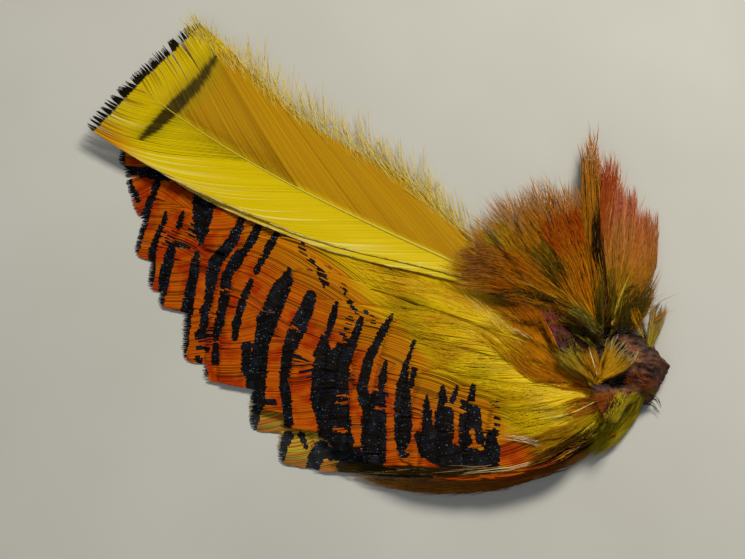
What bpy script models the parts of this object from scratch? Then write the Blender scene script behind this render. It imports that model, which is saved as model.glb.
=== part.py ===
"""Golden pheasant tippet: a dried piece of neck skin with its feathers, lying flat.

Long square-ended tippet feathers fan out to the left of the skin, each lying on the one before it.
A tuft of short neck feathers stands behind the skin, and one large tippet lies over the fan.
Plan sizes and places are in millimetres, +X to the right, +Y away from the viewer, +Z up.
"""
import math
from dataclasses import dataclass, replace

import bmesh
import bpy
import numpy as np
from mathutils import Vector
from mathutils.geometry import delaunay_2d_cdt

MM = 0.001

# Driving sizes of every vane and of the pile that they make
VANE_THICKNESS = 0.15
CLEARANCE = 0.15
SHARP_ANGLE = 40.0
QUILL_WIDTH = 2.5            # a vane narrower than this can't twist
SHAFT_REACH = 0.36           # how far a shaft keeps its end headings, as a share of its length
VANE_STIFFNESS = 0.35        # how far each round of settling straightens a vane

# How a piece settles on the pile: rounds, the sink of the first round, and pushes in each
ROUNDS = 60
SINK = 0.25
PUSHES = 12
CELL = 0.25
DRAPE_SAMPLES = 12           # test points along a triangle's side, to find what it rests on
PILE_SAMPLES = 30            # points along a vane triangle's side that raise the pile
PLAN_LOW = (-64.0, -50.0)
PLAN_HIGH = (62.0, 66.0)

# The hollow under the feather bases: the skin holds them up in a low mound
MOUND_HEIGHT = 2.0
MOUND_CENTRE = (24.0, -22.0)
MOUND_REACH = (18.0, 10.0)

# The middle of the finished object's box goes to the origin
BOX_MIDDLE = (-0.72, 8.38)


@dataclass
class Feather:
    """One feather seen from above: where its quill starts, where its tip is, and how wide it is."""
    name: str
    root: tuple
    leaves: float        # heading of the quill at its root, in degrees from +X towards +Y
    tip: tuple
    arrives: float       # heading of the rachis at the tip
    near: float          # half width of the vane on the left hand of the heading
    far: float           # half width of the vane on the right hand of the heading
    outline: tuple       # share of the half width at shares of the length
    colour: str
    far_outline: tuple = ()  # the same for the right hand, where it differs
    columns: int = 4
    rows: int = 7
    tip_bow: float = 1.0     # how far the middle of the tip stands before its corners
    ragged: float = 0.0      # how far every second point of the tip is set back
    arch: float = 0.0        # height that the vane's middle keeps by its own stiffness
    lift: float = 0.0        # height that the tip keeps by its own stiffness


# How wide each kind of feather is along its length: (share of the length, share of the half width)
TIPPET_OUTLINE = ((0, 0.03), (0.28, 0.03), (0.43, 0.25), (0.58, 0.62), (0.72, 0.88), (0.86, 1.0), (1, 0.98))
LARGE_NEAR = (
    (0, 0.03), (0.15, 0.12), (0.3, 0.35), (0.41, 0.55), (0.52, 0.7), (0.65, 0.77), (0.78, 0.87), (1, 1),
)
LARGE_FAR = (
    (0, 0.02), (0.12, 0.15), (0.26, 0.47), (0.34, 0.65), (0.42, 0.76), (0.62, 0.81), (0.77, 0.92),
    (0.92, 1.02), (1, 1),
)
PLUME_OUTLINE = ((0, 0.05), (0.2, 0.45), (0.45, 0.95), (0.65, 1.0), (0.88, 0.8), (1, 0.3))
NECK_OUTLINE = ((0, 0.06), (0.2, 0.4), (0.5, 0.9), (0.75, 1.0), (0.92, 0.85), (1, 0.6))
RIM_OUTLINE = ((0, 0.35), (0.3, 1.0), (0.6, 0.9), (0.85, 0.45), (1, 0.1))

# Colours of the feathers and the skin: (red, green, blue), roughness
COLOURS = {
    "barred_vane": ((0.60, 0.14, 0.01), 0.5),
    "pale_vane": ((0.50, 0.36, 0.03), 0.5),
    "yellow_vane": ((0.55, 0.42, 0.01), 0.45),
    "golden_plume": ((0.52, 0.31, 0.01), 0.45),
    "neck_vane": ((0.33, 0.10, 0.02), 0.6),
    "brown_vane": ((0.12, 0.06, 0.02), 0.6),
    "dried_skin": ((0.06, 0.02, 0.018), 0.7),
}

# Barred tippets of the fan, from the lowest to the top one: the corners of each square tip,
# (lower corner), (upper corner)
FAN_TIPS = (
    ((-45.5, 14.0), (-50.0, 33.0)),
    ((-50.6, 26.2), (-46.0, 41.0)),
    ((-46.4, 6.3), (-38.3, 30.9)),
    ((-42.9, -1.0), (-39.6, 17.0)),
    ((-40.7, -4.7), (-36.5, 15.5)),
    ((-35.4, -15.9), (-33.5, 6.0)),
    ((-33.2, 7.5), (-29.0, 25.0)),
    ((-31.3, -19.9), (-28.3, 7.2)),
    ((-29.0, -20.5), (-24.5, 10.3)),
    ((-22.4, -25.1), (-15.1, 3.1)),
    ((-16.1, -29.4), (-12.2, -3.5)),
    ((-9.8, -32.0), (-6.9, -4.8)),
    ((-7.5, -34.0), (-5.1, -10.1)),
    ((-4.5, -35.0), (-1.8, -8.2)),
    ((-1.9, -36.6), (4.0, -7.8)),
    ((1.3, -37.0), (3.2, -17.6)),
    ((4.6, -36.7), (7.9, -12.9)),
    ((6.7, -38.3), (8.6, -18.9)),
    ((8.4, -39.7), (10.2, -24.3)),
    ((12.0, -40.3), (13.0, -22.8)),
    ((16.4, -39.8), (18.3, -22.9)),
    ((20.9, -38.9), (21.8, -25.7)),
)
FAN_FIRST_ROOT = (33.0, -10.5)
FAN_LAST_ROOT = (44.5, -30.5)
FAN_FIRST_HEADING = 142.0
FAN_LAST_HEADING = 205.0

# Pale tippets that show from under the fan's lower edge
PALE_TIPS = (
    ((-22.1, -29.5), (-21.5, -19.0)),
    ((-17.0, -35.8), (-14.8, -22.0)),
    ((-10.6, -37.2), (-9.8, -26.0)),
)
PALE_ROOT = (41.0, -25.0)
PALE_ROOT_STEP = (1.2, -1.2)
PALE_HEADING = 185.0

# Outline of the dried skin seen from above, under the roots of the neck feathers too
SKIN_OUTLINE = (
    (31.8, -10.4), (31.6, -7.0), (34.2, -6.2), (37.6, -7.6), (40.4, -9.6), (43.0, -11.2),
    (46.0, -11.0), (49.0, -10.6), (51.4, -12.4), (53.0, -15.4), (54.8, -18.2), (53.2, -20.6),
    (51.8, -23.6), (49.2, -24.8), (46.6, -25.4), (45.2, -28.0), (43.8, -30.6), (41.6, -30.4),
    (40.4, -27.4), (39.4, -24.0), (38.0, -20.6), (36.0, -17.4), (33.2, -14.8),
)
SKIN_STEP = 1.9              # spacing of the points inside the outline
SKIN_MARGIN = 1.15           # how far they keep from the outline
ROW_SHARE = 0.87             # distance between rows of points that make even triangles
SKIN_THICKNESS = 1.3
SKIN_STIFFNESS = 0.15
SKIN_FOLD_HEIGHT = 7.4       # the folded lump at the right, above the table
SKIN_FOLD_CENTRE = (49.4, -17.0)
SKIN_FOLD_REACH = (5.2, 8.0)
SKIN_WRINKLE = 0.45
SKIN_FLAT_FROM_X = 47.6      # right of this the skin lies flat on the table


def unit(heading):
    """The direction of a heading in degrees."""
    angle = math.radians(heading)
    return np.array((math.cos(angle), math.sin(angle)))


def from_tip_corners(lower, upper, share=0.5):
    """Tip, heading, near and far half widths of a feather whose square tip has these corners."""
    lower, upper = np.array(lower), np.array(upper)
    width = np.linalg.norm(upper - lower)
    across = (upper - lower) / width
    heading = math.degrees(math.atan2(across[0], -across[1]))
    tip = lower + share * (upper - lower)
    return tuple(tip), heading % 360, width * share, width * (1 - share)


def read_outline(outline, share):
    """The half width at a share of the length, between the outline's own points."""
    return float(np.interp(share, [p[0] for p in outline], [p[1] for p in outline]))


def rachis(feather, share):
    """Point and heading of the rachis at a share of its length, on one smooth curve."""
    start, end = np.array(feather.root), np.array(feather.tip)
    reach = SHAFT_REACH * np.linalg.norm(end - start)
    first = start + reach * unit(feather.leaves)
    second = end - reach * unit(feather.arrives)
    t, r = share, 1 - share
    point = r**3 * start + 3 * r * r * t * first + 3 * r * t * t * second + t**3 * end
    along = 3 * r * r * (first - start) + 6 * r * t * (second - first) + 3 * t * t * (end - second)
    return point, along / np.linalg.norm(along)


def place_on_vane(feather, share, side):
    """The plan point at a share of the length, on one side (-1 near, +1 far) or between."""
    middle, along = rachis(feather, share)
    right_hand = np.array((along[1], -along[0]))
    near = feather.near * read_outline(feather.outline, share)
    far = feather.far * read_outline(feather.far_outline or feather.outline, share)
    point = middle + right_hand * side * (far if side > 0 else near)
    return point + along * feather.tip_bow * (1 - side * side) * share**3


def flat_vane(feather):
    """The vane as a sheet of triangles seen from above, its rows running from the root to the tip."""
    sheet = bmesh.new()
    bmesh.ops.create_grid(sheet, x_segments=feather.columns, y_segments=feather.rows, size=1)
    for count, corner in enumerate(sheet.verts):
        share = 0.5 * (1 + corner.co.y)
        point = place_on_vane(feather, share, corner.co.x)
        if share > 0.999 and count % 2 != feather.columns * feather.rows % 2:
            point = point - feather.ragged * rachis(feather, 1.0)[1]
        corner.co = (*point, 0)
    bmesh.ops.triangulate(sheet, faces=sheet.faces[:], quad_method="FIXED")
    return sheet


class Pile:
    """How high the pieces laid so far reach, on a square grid of cells seen from above."""

    def __init__(self):
        across = int((PLAN_HIGH[0] - PLAN_LOW[0]) / CELL) + 1
        back = int((PLAN_HIGH[1] - PLAN_LOW[1]) / CELL) + 1
        x = PLAN_LOW[0] + CELL * np.arange(across)
        y = PLAN_LOW[1] + CELL * np.arange(back)
        dx = (x[:, None] - MOUND_CENTRE[0]) / MOUND_REACH[0]
        dy = (y[None, :] - MOUND_CENTRE[1]) / MOUND_REACH[1]
        self.top = MOUND_HEIGHT * np.exp(-dx * dx - dy * dy) - CLEARANCE
        self.top[self.top < 0] = -CLEARANCE

    def cells(self, points):
        """Whole and part cell numbers of plan points."""
        place = (points - np.array(PLAN_LOW)) / CELL
        whole = np.floor(place).astype(int)
        return whole[:, 0], whole[:, 1]

    def height(self, points):
        """The highest of the four cells round each plan point."""
        i, j = self.cells(points)
        corners = [self.top[i, j], self.top[i + 1, j], self.top[i, j + 1], self.top[i + 1, j + 1]]
        return np.max(corners, axis=0)

    def add(self, points, heights):
        """Raises the cells round each plan point to the height of the piece there."""
        i, j = self.cells(points)
        for di in (0, 1):
            for dj in (0, 1):
                np.maximum.at(self.top, (i + di, j + dj), heights)


def spread_samples(points, triangles, steps):
    """Points spread over the triangles: their corner numbers, corner shares and plan places."""
    shares = [(a / steps, b / steps, (steps - a - b) / steps)
              for a in range(steps + 1) for b in range(steps + 1 - a)]
    corners = np.repeat(triangles, len(shares), axis=0)
    weights = np.tile(np.array(shares), (len(triangles), 1))
    places = np.einsum("sk,skc->sc", weights, points[corners])
    return corners, weights, places


def lay_down(points, triangles, straighten, least, pile, level_rows=()):
    """Heights at which a thin sheet comes to rest on the pile.

    The sheet starts draped over what lies under it. Each round it straightens by its stiffness,
    sinks a little, and is pushed up where it comes nearer to the pile than the clearance.
    The points of a level row always share one height.
    """
    corners, weights, places = spread_samples(points, triangles, DRAPE_SAMPLES)
    needed = np.maximum(pile.height(places) + CLEARANCE, np.einsum("sk,sk->s", weights, least[corners]))
    push = weights / np.sum(weights * weights, axis=1)[:, None]
    height = np.zeros(len(points))
    np.maximum.at(height, corners.ravel(), np.repeat(needed, 3))
    for turn in range(ROUNDS):
        height = straighten @ height - SINK * (1 - turn / ROUNDS)
        for _ in range(PUSHES):
            short = needed - np.einsum("sk,sk->s", weights, height[corners])
            under = short > 0
            lifted = np.zeros(len(points))
            np.maximum.at(lifted, corners[under].ravel(), (short[under, None] * push[under]).ravel())
            height = height + lifted
            for row in level_rows:
                height[row] = height[row].max()
    short = needed - np.einsum("sk,sk->s", weights, height[corners])
    under = short > 0
    lifted = np.zeros(len(points))
    np.maximum.at(lifted, corners[under].ravel(), np.repeat(short[under], 3))
    height = height + lifted
    for row in level_rows:
        height[row] = height[row].max()
    return height


def material(name):
    """The Principled material of one kind of feather, or of the skin."""
    if name in bpy.data.materials:
        return bpy.data.materials[name]
    made = bpy.data.materials.new(name)
    made.use_nodes = True
    colour, roughness = COLOURS[name]
    shader = made.node_tree.nodes["Principled BSDF"]
    shader.inputs["Base Color"].default_value = (*colour, 1)
    shader.inputs["Roughness"].default_value = roughness
    shader.inputs["Metallic"].default_value = 0.0
    made.diffuse_color = (*colour, 1)
    return made


def add_object(name, mesh, colour):
    """Puts a mesh into the object's collection under its name and material."""
    mesh.materials.append(material(colour))
    mesh.shade_smooth()
    mesh.set_sharp_from_angle(angle=math.radians(SHARP_ANGLE))
    made = bpy.data.objects.new(name, mesh)
    collection.objects.link(made)
    return made


def grid_straightener(rows, columns):
    """A matrix that draws each point of a grid towards the middle of the points beside it.

    The first row, where the quill is held down by the skin, is left out.
    """
    wide = columns + 1
    matrix = np.eye((rows + 1) * wide)
    for i in range(1, rows + 1):
        for j in range(wide):
            here = i * wide + j
            along = [here - wide, here + wide] if i < rows else []
            across = [here - 1, here + 1] if 0 < j < columns else []
            beside = along + across
            if not beside:
                beside = [here - wide, here + (1 if j == 0 else -1)]
            matrix[here, here] -= VANE_STIFFNESS
            matrix[here, beside] += VANE_STIFFNESS / len(beside)
    return matrix


def turns_left(points, triangles):
    """Whether the triangles turn anticlockwise seen from above."""
    a, b, c = (points[triangles[:, k]] for k in range(3))
    area = (b[:, 0] - a[:, 0]) * (c[:, 1] - a[:, 1]) - (b[:, 1] - a[:, 1]) * (c[:, 0] - a[:, 0])
    return area.sum() > 0


def quill_rows(points, feather):
    """Point numbers of the rows that are still as narrow as a quill."""
    wide = feather.columns + 1
    rows = [list(range(i * wide, (i + 1) * wide)) for i in range(feather.rows + 1)]
    return [row for row in rows if np.linalg.norm(points[row[-1]] - points[row[0]]) < QUILL_WIDTH]


def lay_feather(feather, pile):
    """Lays one feather on the pile and makes its solid: a thin vane from the quill to the ragged tip."""
    sheet = flat_vane(feather)
    points = np.array([corner.co.xy for corner in sheet.verts])
    triangles = np.array([[corner.index for corner in face.verts] for face in sheet.faces])
    shares = np.repeat(np.arange(feather.rows + 1) / feather.rows, feather.columns + 1)
    least = feather.arch * np.sin(math.pi * shares) + feather.lift * shares**2
    straighten = grid_straightener(feather.rows, feather.columns)
    low = lay_down(points, triangles, straighten, least, pile, quill_rows(points, feather))
    for corner, height in zip(sheet.verts, low):
        corner.co = (corner.co - Vector((*BOX_MIDDLE, -height))) * MM
    mesh = bpy.data.meshes.new(feather.name)
    sheet.to_mesh(mesh)
    sheet.free()
    made = add_object(feather.name, mesh, feather.colour)
    thicken = made.modifiers.new("vane thickness", "SOLIDIFY")
    thicken.thickness = VANE_THICKNESS * MM
    thicken.offset = 1
    corners, weights, places = spread_samples(points, triangles, PILE_SAMPLES)
    pile.add(places, np.einsum("sk,sk->s", weights, low[corners]) + VANE_THICKNESS)


def inside(point, outline):
    """Whether a plan point is inside an outline."""
    x, y = point
    odd = False
    for (ax, ay), (bx, by) in zip(outline, outline[1:] + outline[:1]):
        if (ay > y) != (by > y) and x < ax + (y - ay) * (bx - ax) / (by - ay):
            odd = not odd
    return odd


def edge_distance(point, outline):
    """How far a plan point is from an outline."""
    nearest = math.inf
    for a, b in zip(outline, outline[1:] + outline[:1]):
        a, b, p = np.array(a), np.array(b), np.array(point)
        share = np.clip(np.dot(p - a, b - a) / np.dot(b - a, b - a), 0, 1)
        nearest = min(nearest, float(np.linalg.norm(p - a - share * (b - a))))
    return nearest


def skin_mesh():
    """Points and triangles of the skin seen from above, its outline's points first."""
    outline = list(SKIN_OUTLINE)
    xs = [p[0] for p in outline]
    ys = [p[1] for p in outline]
    points = [Vector(p) for p in outline]
    for row, y in enumerate(np.arange(min(ys), max(ys), SKIN_STEP * ROW_SHARE)):
        for x in np.arange(min(xs) + 0.5 * SKIN_STEP * (row % 2), max(xs), SKIN_STEP):
            if inside((x, y), outline) and edge_distance((x, y), outline) > SKIN_MARGIN:
                points.append(Vector((x, y)))
    edges = [(k, (k + 1) % len(outline)) for k in range(len(outline))]
    found, _, faces, *_ = delaunay_2d_cdt(points, edges, [], 1, 1e-6)
    return np.array([(p.x, p.y) for p in found]), np.array([tuple(f) for f in faces])


def closed_lump(name, points, low, high, triangles, rim):
    """A closed mesh between an under and an upper side of the same plan, which no tool thickens alike."""
    count = len(points)
    plan = (points - np.array(BOX_MIDDLE)) * MM
    lower = [(x, y, z * MM) for (x, y), z in zip(plan, low)]
    upper = [(x, y, z * MM) for (x, y), z in zip(plan, high)]
    faces = [(a + count, b + count, c + count) for a, b, c in triangles.tolist()]
    faces += [(a, c, b) for a, b, c in triangles.tolist()]
    for here, after in zip(rim, rim[1:] + rim[:1]):
        faces.append((here, after, after + count, here + count))
    mesh = bpy.data.meshes.new(name)
    mesh.from_pydata(lower + upper, [], faces)
    mesh.validate()
    return mesh


def lay_skin(pile):
    """The dried skin: thin over the quills, and folded into a wrinkled lump that lies on the table."""
    points, triangles = skin_mesh()
    rim = list(range(len(SKIN_OUTLINE)))
    if not turns_left(points, triangles):
        triangles = triangles[:, ::-1]
    if not turns_left(points[rim], np.array([(0, k, k + 1) for k in range(1, len(rim) - 1)])):
        rim = rim[::-1]
    soften = np.eye(len(points)) * (1 - SKIN_STIFFNESS)
    for k in range(len(points)):
        near = sorted(set(triangles[np.any(triangles == k, axis=1)].ravel()) - {k})
        soften[k, near] += SKIN_STIFFNESS / len(near)
    low = lay_down(points, triangles, soften, np.zeros(len(points)), pile)
    low = np.where((points[:, 0] > SKIN_FLAT_FROM_X) & (low < 0.5), 0.0, low)
    dx = (points[:, 0] - SKIN_FOLD_CENTRE[0]) / SKIN_FOLD_REACH[0]
    dy = (points[:, 1] - SKIN_FOLD_CENTRE[1]) / SKIN_FOLD_REACH[1]
    fold = SKIN_FOLD_HEIGHT * np.exp(-0.5 * (dx * dx + dy * dy))
    wrinkle = SKIN_WRINKLE * np.sin(1.3 * points[:, 0] + 0.8 * points[:, 1])
    wrinkle = wrinkle * np.cos(0.9 * points[:, 1] - 0.5 * points[:, 0])
    high = np.maximum(low + SKIN_THICKNESS, fold) + wrinkle
    high[rim] = np.minimum(high[rim], low[rim] + 0.45 * (high[rim] - low[rim]) + 0.5)
    add_object("dried_skin", closed_lump("dried_skin", points, low, high, triangles, rim), "dried_skin")
    corners, weights, places = spread_samples(points, triangles, DRAPE_SAMPLES)
    pile.add(places, np.einsum("sk,sk->s", weights, high[corners]))


def fan_feathers():
    """The barred tippets, whose quills start in a row along the skin."""
    made = []
    for k, (lower, upper) in enumerate(FAN_TIPS):
        share = k / (len(FAN_TIPS) - 1)
        root = tuple(np.array(FAN_FIRST_ROOT) + share * (np.array(FAN_LAST_ROOT) - np.array(FAN_FIRST_ROOT)))
        leaves = FAN_FIRST_HEADING + share * (FAN_LAST_HEADING - FAN_FIRST_HEADING)
        tip, arrives, near, far = from_tip_corners(lower, upper)
        made.append(Feather(f"barred_tippet_{k + 1:02d}", root, leaves, tip, arrives, near, far,
                            TIPPET_OUTLINE, "barred_vane"))
    return made


def pale_feathers():
    """The pale tippets under the fan."""
    made = []
    for k, (lower, upper) in enumerate(PALE_TIPS):
        root = (PALE_ROOT[0] + k * PALE_ROOT_STEP[0], PALE_ROOT[1] + k * PALE_ROOT_STEP[1])
        tip, arrives, near, far = from_tip_corners(lower, upper)
        made.append(Feather(f"pale_tippet_{k + 1}", root, PALE_HEADING, tip, arrives, near, far,
                            TIPPET_OUTLINE, "pale_vane"))
    return made


def rim_feathers():
    """The brown-edged feathers that curl round the lower right of the pile."""
    outer = Feather("rim_feather_outer", (47.0, -24.5), 222, (-3.7, -37.8), 165, 2.8, 3.0,
                    RIM_OUTLINE, "brown_vane")
    inner = Feather("rim_feather_inner", (45.6, -26.6), 218, (6.0, -36.4), 170, 3.2, 4.0,
                    RIM_OUTLINE, "brown_vane")
    return [outer, inner]


def golden_feathers():
    """Soft golden feathers that cover the bases of the fan."""
    soft = dict(outline=PLUME_OUTLINE, colour="golden_plume", tip_bow=3.0)
    return [
        Feather("golden_plume_1", (43.5, -26.0), 195, (26.0, -29.5), 178, 4.5, 4.5, **soft),
        Feather("golden_plume_2", (42.0, -24.5), 170, (17.5, -22.0), 168, 5.0, 5.0, **soft),
        Feather("golden_plume_3", (40.5, -22.5), 152, (10.0, -13.0), 160, 5.5, 5.5, **soft),
        Feather("golden_plume_4", (39.0, -20.0), 142, (3.0, -4.5), 158, 5.5, 5.5, **soft),
        Feather("golden_plume_5", (37.5, -17.0), 138, (-1.0, 3.5), 160, 5.0, 5.0, **soft),
    ]


def large_feathers():
    """The two large yellow tippets that lie over the fan, the upper one with its tip in the air."""
    shape = dict(outline=LARGE_NEAR, far_outline=LARGE_FAR, colour="yellow_vane", tip_bow=0.5)
    under_tip = from_tip_corners((-48.0, 29.0), (-30.0, 47.5), share=0.4)
    under = Feather("large_tippet_under", (32.5, -6.5), 150, *under_tip, rows=9, lift=1.5, **shape)
    upper_tip = from_tip_corners((-57.0, 33.3), (-36.4, 58.2), share=0.41)
    upper = Feather("large_tippet_upper", (33.5, -5.5), 151, *upper_tip, columns=8, rows=12,
                    ragged=0.7, lift=4.0, **shape)
    return [under, replace(upper, tip_bow=0.8)]


def neck_feathers():
    """The tuft of ginger neck feathers: a broad lobe to the left, a tall spike and a red lobe."""
    tuft = dict(outline=NECK_OUTLINE, colour="neck_vane", columns=6, rows=5, tip_bow=1.5, ragged=1.6)
    spike = replace(
        Feather("neck_feather_spike", (42.6, -12.6), 95, (43.2, 30.5), 91, 1.6, 1.6, **tuft),
        columns=4, rows=7, arch=4.0, lift=2.0)
    return [
        Feather("neck_feather_01", (38.5, -9.5), 150, (24.0, -5.0), 165, 3.4, 3.4, arch=5.0, **tuft),
        Feather("neck_feather_02", (36.8, -7.2), 152, (15.5, 3.0), 158, 4.0, 4.0, arch=5.0, **tuft),
        Feather("neck_feather_03", (37.8, -7.6), 140, (20.2, 11.5), 132, 4.8, 4.8, arch=5.0, **tuft),
        Feather("neck_feather_04", (39.2, -10.0), 128, (25.5, 17.5), 113, 5.4, 5.4, arch=6.0, **tuft),
        Feather("neck_feather_05", (40.4, -11.6), 112, (32.0, 19.0), 100, 5.8, 5.8, arch=6.5, **tuft),
        Feather("neck_feather_06", (41.4, -12.8), 102, (37.8, 18.0), 92, 4.6, 4.6, arch=6.5, **tuft),
        spike,
        Feather("neck_feather_07", (48.2, -11.4), 80, (51.2, 1.5), 87, 2.8, 2.8, arch=4.0, **tuft),
        Feather("neck_feather_08", (47.2, -11.2), 82, (51.2, 11.5), 86, 3.2, 3.2, arch=5.0, **tuft),
        Feather("neck_feather_09", (46.2, -11.4), 84, (49.6, 17.5), 87, 3.0, 3.0, arch=5.0, **tuft),
        Feather("neck_feather_10", (44.6, -12.0), 86, (46.4, 25.5), 88, 2.6, 2.6, arch=4.5, lift=2.0, **tuft),
    ]


def small_feathers():
    """Small yellow feathers on the skin, and one that stands out at its right end."""
    small = dict(outline=NECK_OUTLINE, colour="golden_plume", columns=4, rows=4, tip_bow=0.8, ragged=0.8)
    return [
        Feather("small_feather_left", (39.8, -22.6), 128, (34.6, -15.2), 128, 2.0, 2.0, **small),
        Feather("small_feather_middle", (40.8, -22.4), 108, (38.2, -14.6), 112, 2.0, 2.0, **small),
        Feather("small_feather_right", (41.6, -22.2), 40, (47.4, -15.6), 42, 2.7, 2.7, **small),
        Feather("side_feather", (53.4, -13.8), 86, (53.9, -4.6), 82, 1.9, 1.9, arch=2.5, **small),
    ]


for old in list(bpy.data.objects):
    bpy.data.objects.remove(old)
collection = bpy.data.collections.new("golden_pheasant_tippet")
bpy.context.scene.collection.children.link(collection)

pile = Pile()
fan = fan_feathers()
for piece in fan[:6] + pale_feathers() + rim_feathers() + fan[6:] + golden_feathers() + large_feathers():
    lay_feather(piece, pile)
lay_skin(pile)
for piece in neck_feathers() + small_feathers():
    lay_feather(piece, pile)
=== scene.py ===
"""Looks of a dried golden pheasant neck patch that lies flat: fanned tippets, a tuft and the skin.

Plan places are in millimetres, +X to the right and +Y away from the viewer, as in the part's source.
"""

import math
from dataclasses import dataclass

import bpy
import numpy as np
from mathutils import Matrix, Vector, noise
from mathutils.bvhtree import BVHTree


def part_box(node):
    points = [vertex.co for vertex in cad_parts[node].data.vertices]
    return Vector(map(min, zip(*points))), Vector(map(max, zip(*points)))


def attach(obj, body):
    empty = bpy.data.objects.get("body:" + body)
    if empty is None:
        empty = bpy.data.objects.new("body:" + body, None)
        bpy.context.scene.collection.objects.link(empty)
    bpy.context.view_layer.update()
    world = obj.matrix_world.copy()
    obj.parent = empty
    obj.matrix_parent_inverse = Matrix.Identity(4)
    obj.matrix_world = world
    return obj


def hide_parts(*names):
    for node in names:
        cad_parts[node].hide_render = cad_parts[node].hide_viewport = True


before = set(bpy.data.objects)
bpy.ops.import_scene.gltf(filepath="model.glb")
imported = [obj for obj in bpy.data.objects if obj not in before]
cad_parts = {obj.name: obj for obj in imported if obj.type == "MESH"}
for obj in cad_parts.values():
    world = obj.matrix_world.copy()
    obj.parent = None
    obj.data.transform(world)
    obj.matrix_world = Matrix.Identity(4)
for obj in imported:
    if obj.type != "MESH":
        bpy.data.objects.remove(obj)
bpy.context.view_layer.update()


# Barred tippets
# The cape feathers of a golden pheasant cock: a thin keratin shaft that carries a soft barb every
# third of a millimetre, orange with black bars and ending in a square tip. Their quills grow from
# the skin in a row, so they fan out, and each lies on the one before it.

MM = 0.001
PLAN_ORIGIN = (-0.72, 8.38)      # the plan place that stands at the frame's origin
TIPPET_OUTLINE = (               # as the outline of a Feather below
    (0, 0.03), (0.28, 0.03), (0.43, 0.25), (0.58, 0.62), (0.72, 0.88), (0.86, 1.0), (1, 0.98),
)

# From the lowest tippet to the top one: (lower corner of the square tip), (upper corner)
FAN_TIPS = (
    ((-45.5, 14.0), (-50.0, 33.0)),
    ((-50.6, 26.2), (-46.0, 41.0)),
    ((-46.4, 6.3), (-38.3, 30.9)),
    ((-42.9, -1.0), (-39.6, 17.0)),
    ((-40.7, -4.7), (-36.5, 15.5)),
    ((-35.4, -15.9), (-33.5, 6.0)),
    ((-33.2, 7.5), (-29.0, 25.0)),
    ((-31.3, -19.9), (-28.3, 7.2)),
    ((-29.0, -20.5), (-24.5, 10.3)),
    ((-22.4, -25.1), (-15.1, 3.1)),
    ((-16.1, -29.4), (-12.2, -3.5)),
    ((-9.8, -32.0), (-6.9, -4.8)),
    ((-7.5, -34.0), (-5.1, -10.1)),
    ((-4.5, -35.0), (-1.8, -8.2)),
    ((-1.9, -36.6), (4.0, -7.8)),
    ((1.3, -37.0), (3.2, -17.6)),
    ((4.6, -36.7), (7.9, -12.9)),
    ((6.7, -38.3), (8.6, -18.9)),
    ((8.4, -39.7), (10.2, -24.3)),
    ((12.0, -40.3), (13.0, -22.8)),
    ((16.4, -39.8), (18.3, -22.9)),
    ((20.9, -38.9), (21.8, -25.7)),
)
FAN_FIRST_ROOT = (33.0, -10.5)
FAN_LAST_ROOT = (44.5, -30.5)
FAN_FIRST_HEADING = 142.0
FAN_LAST_HEADING = 205.0

# The photograph's view, from which a place on the feathers can be read as a pixel
VIEW_ELEVATION = math.radians(65)
VIEW_DISTANCE = 300.0
VIEW_TARGET = (0.0, 0.0, 3.0)
VIEW_PIXEL = 0.19                # millimetres that a pixel shows at the target
IMAGE_SIZE = (745, 559)

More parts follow.
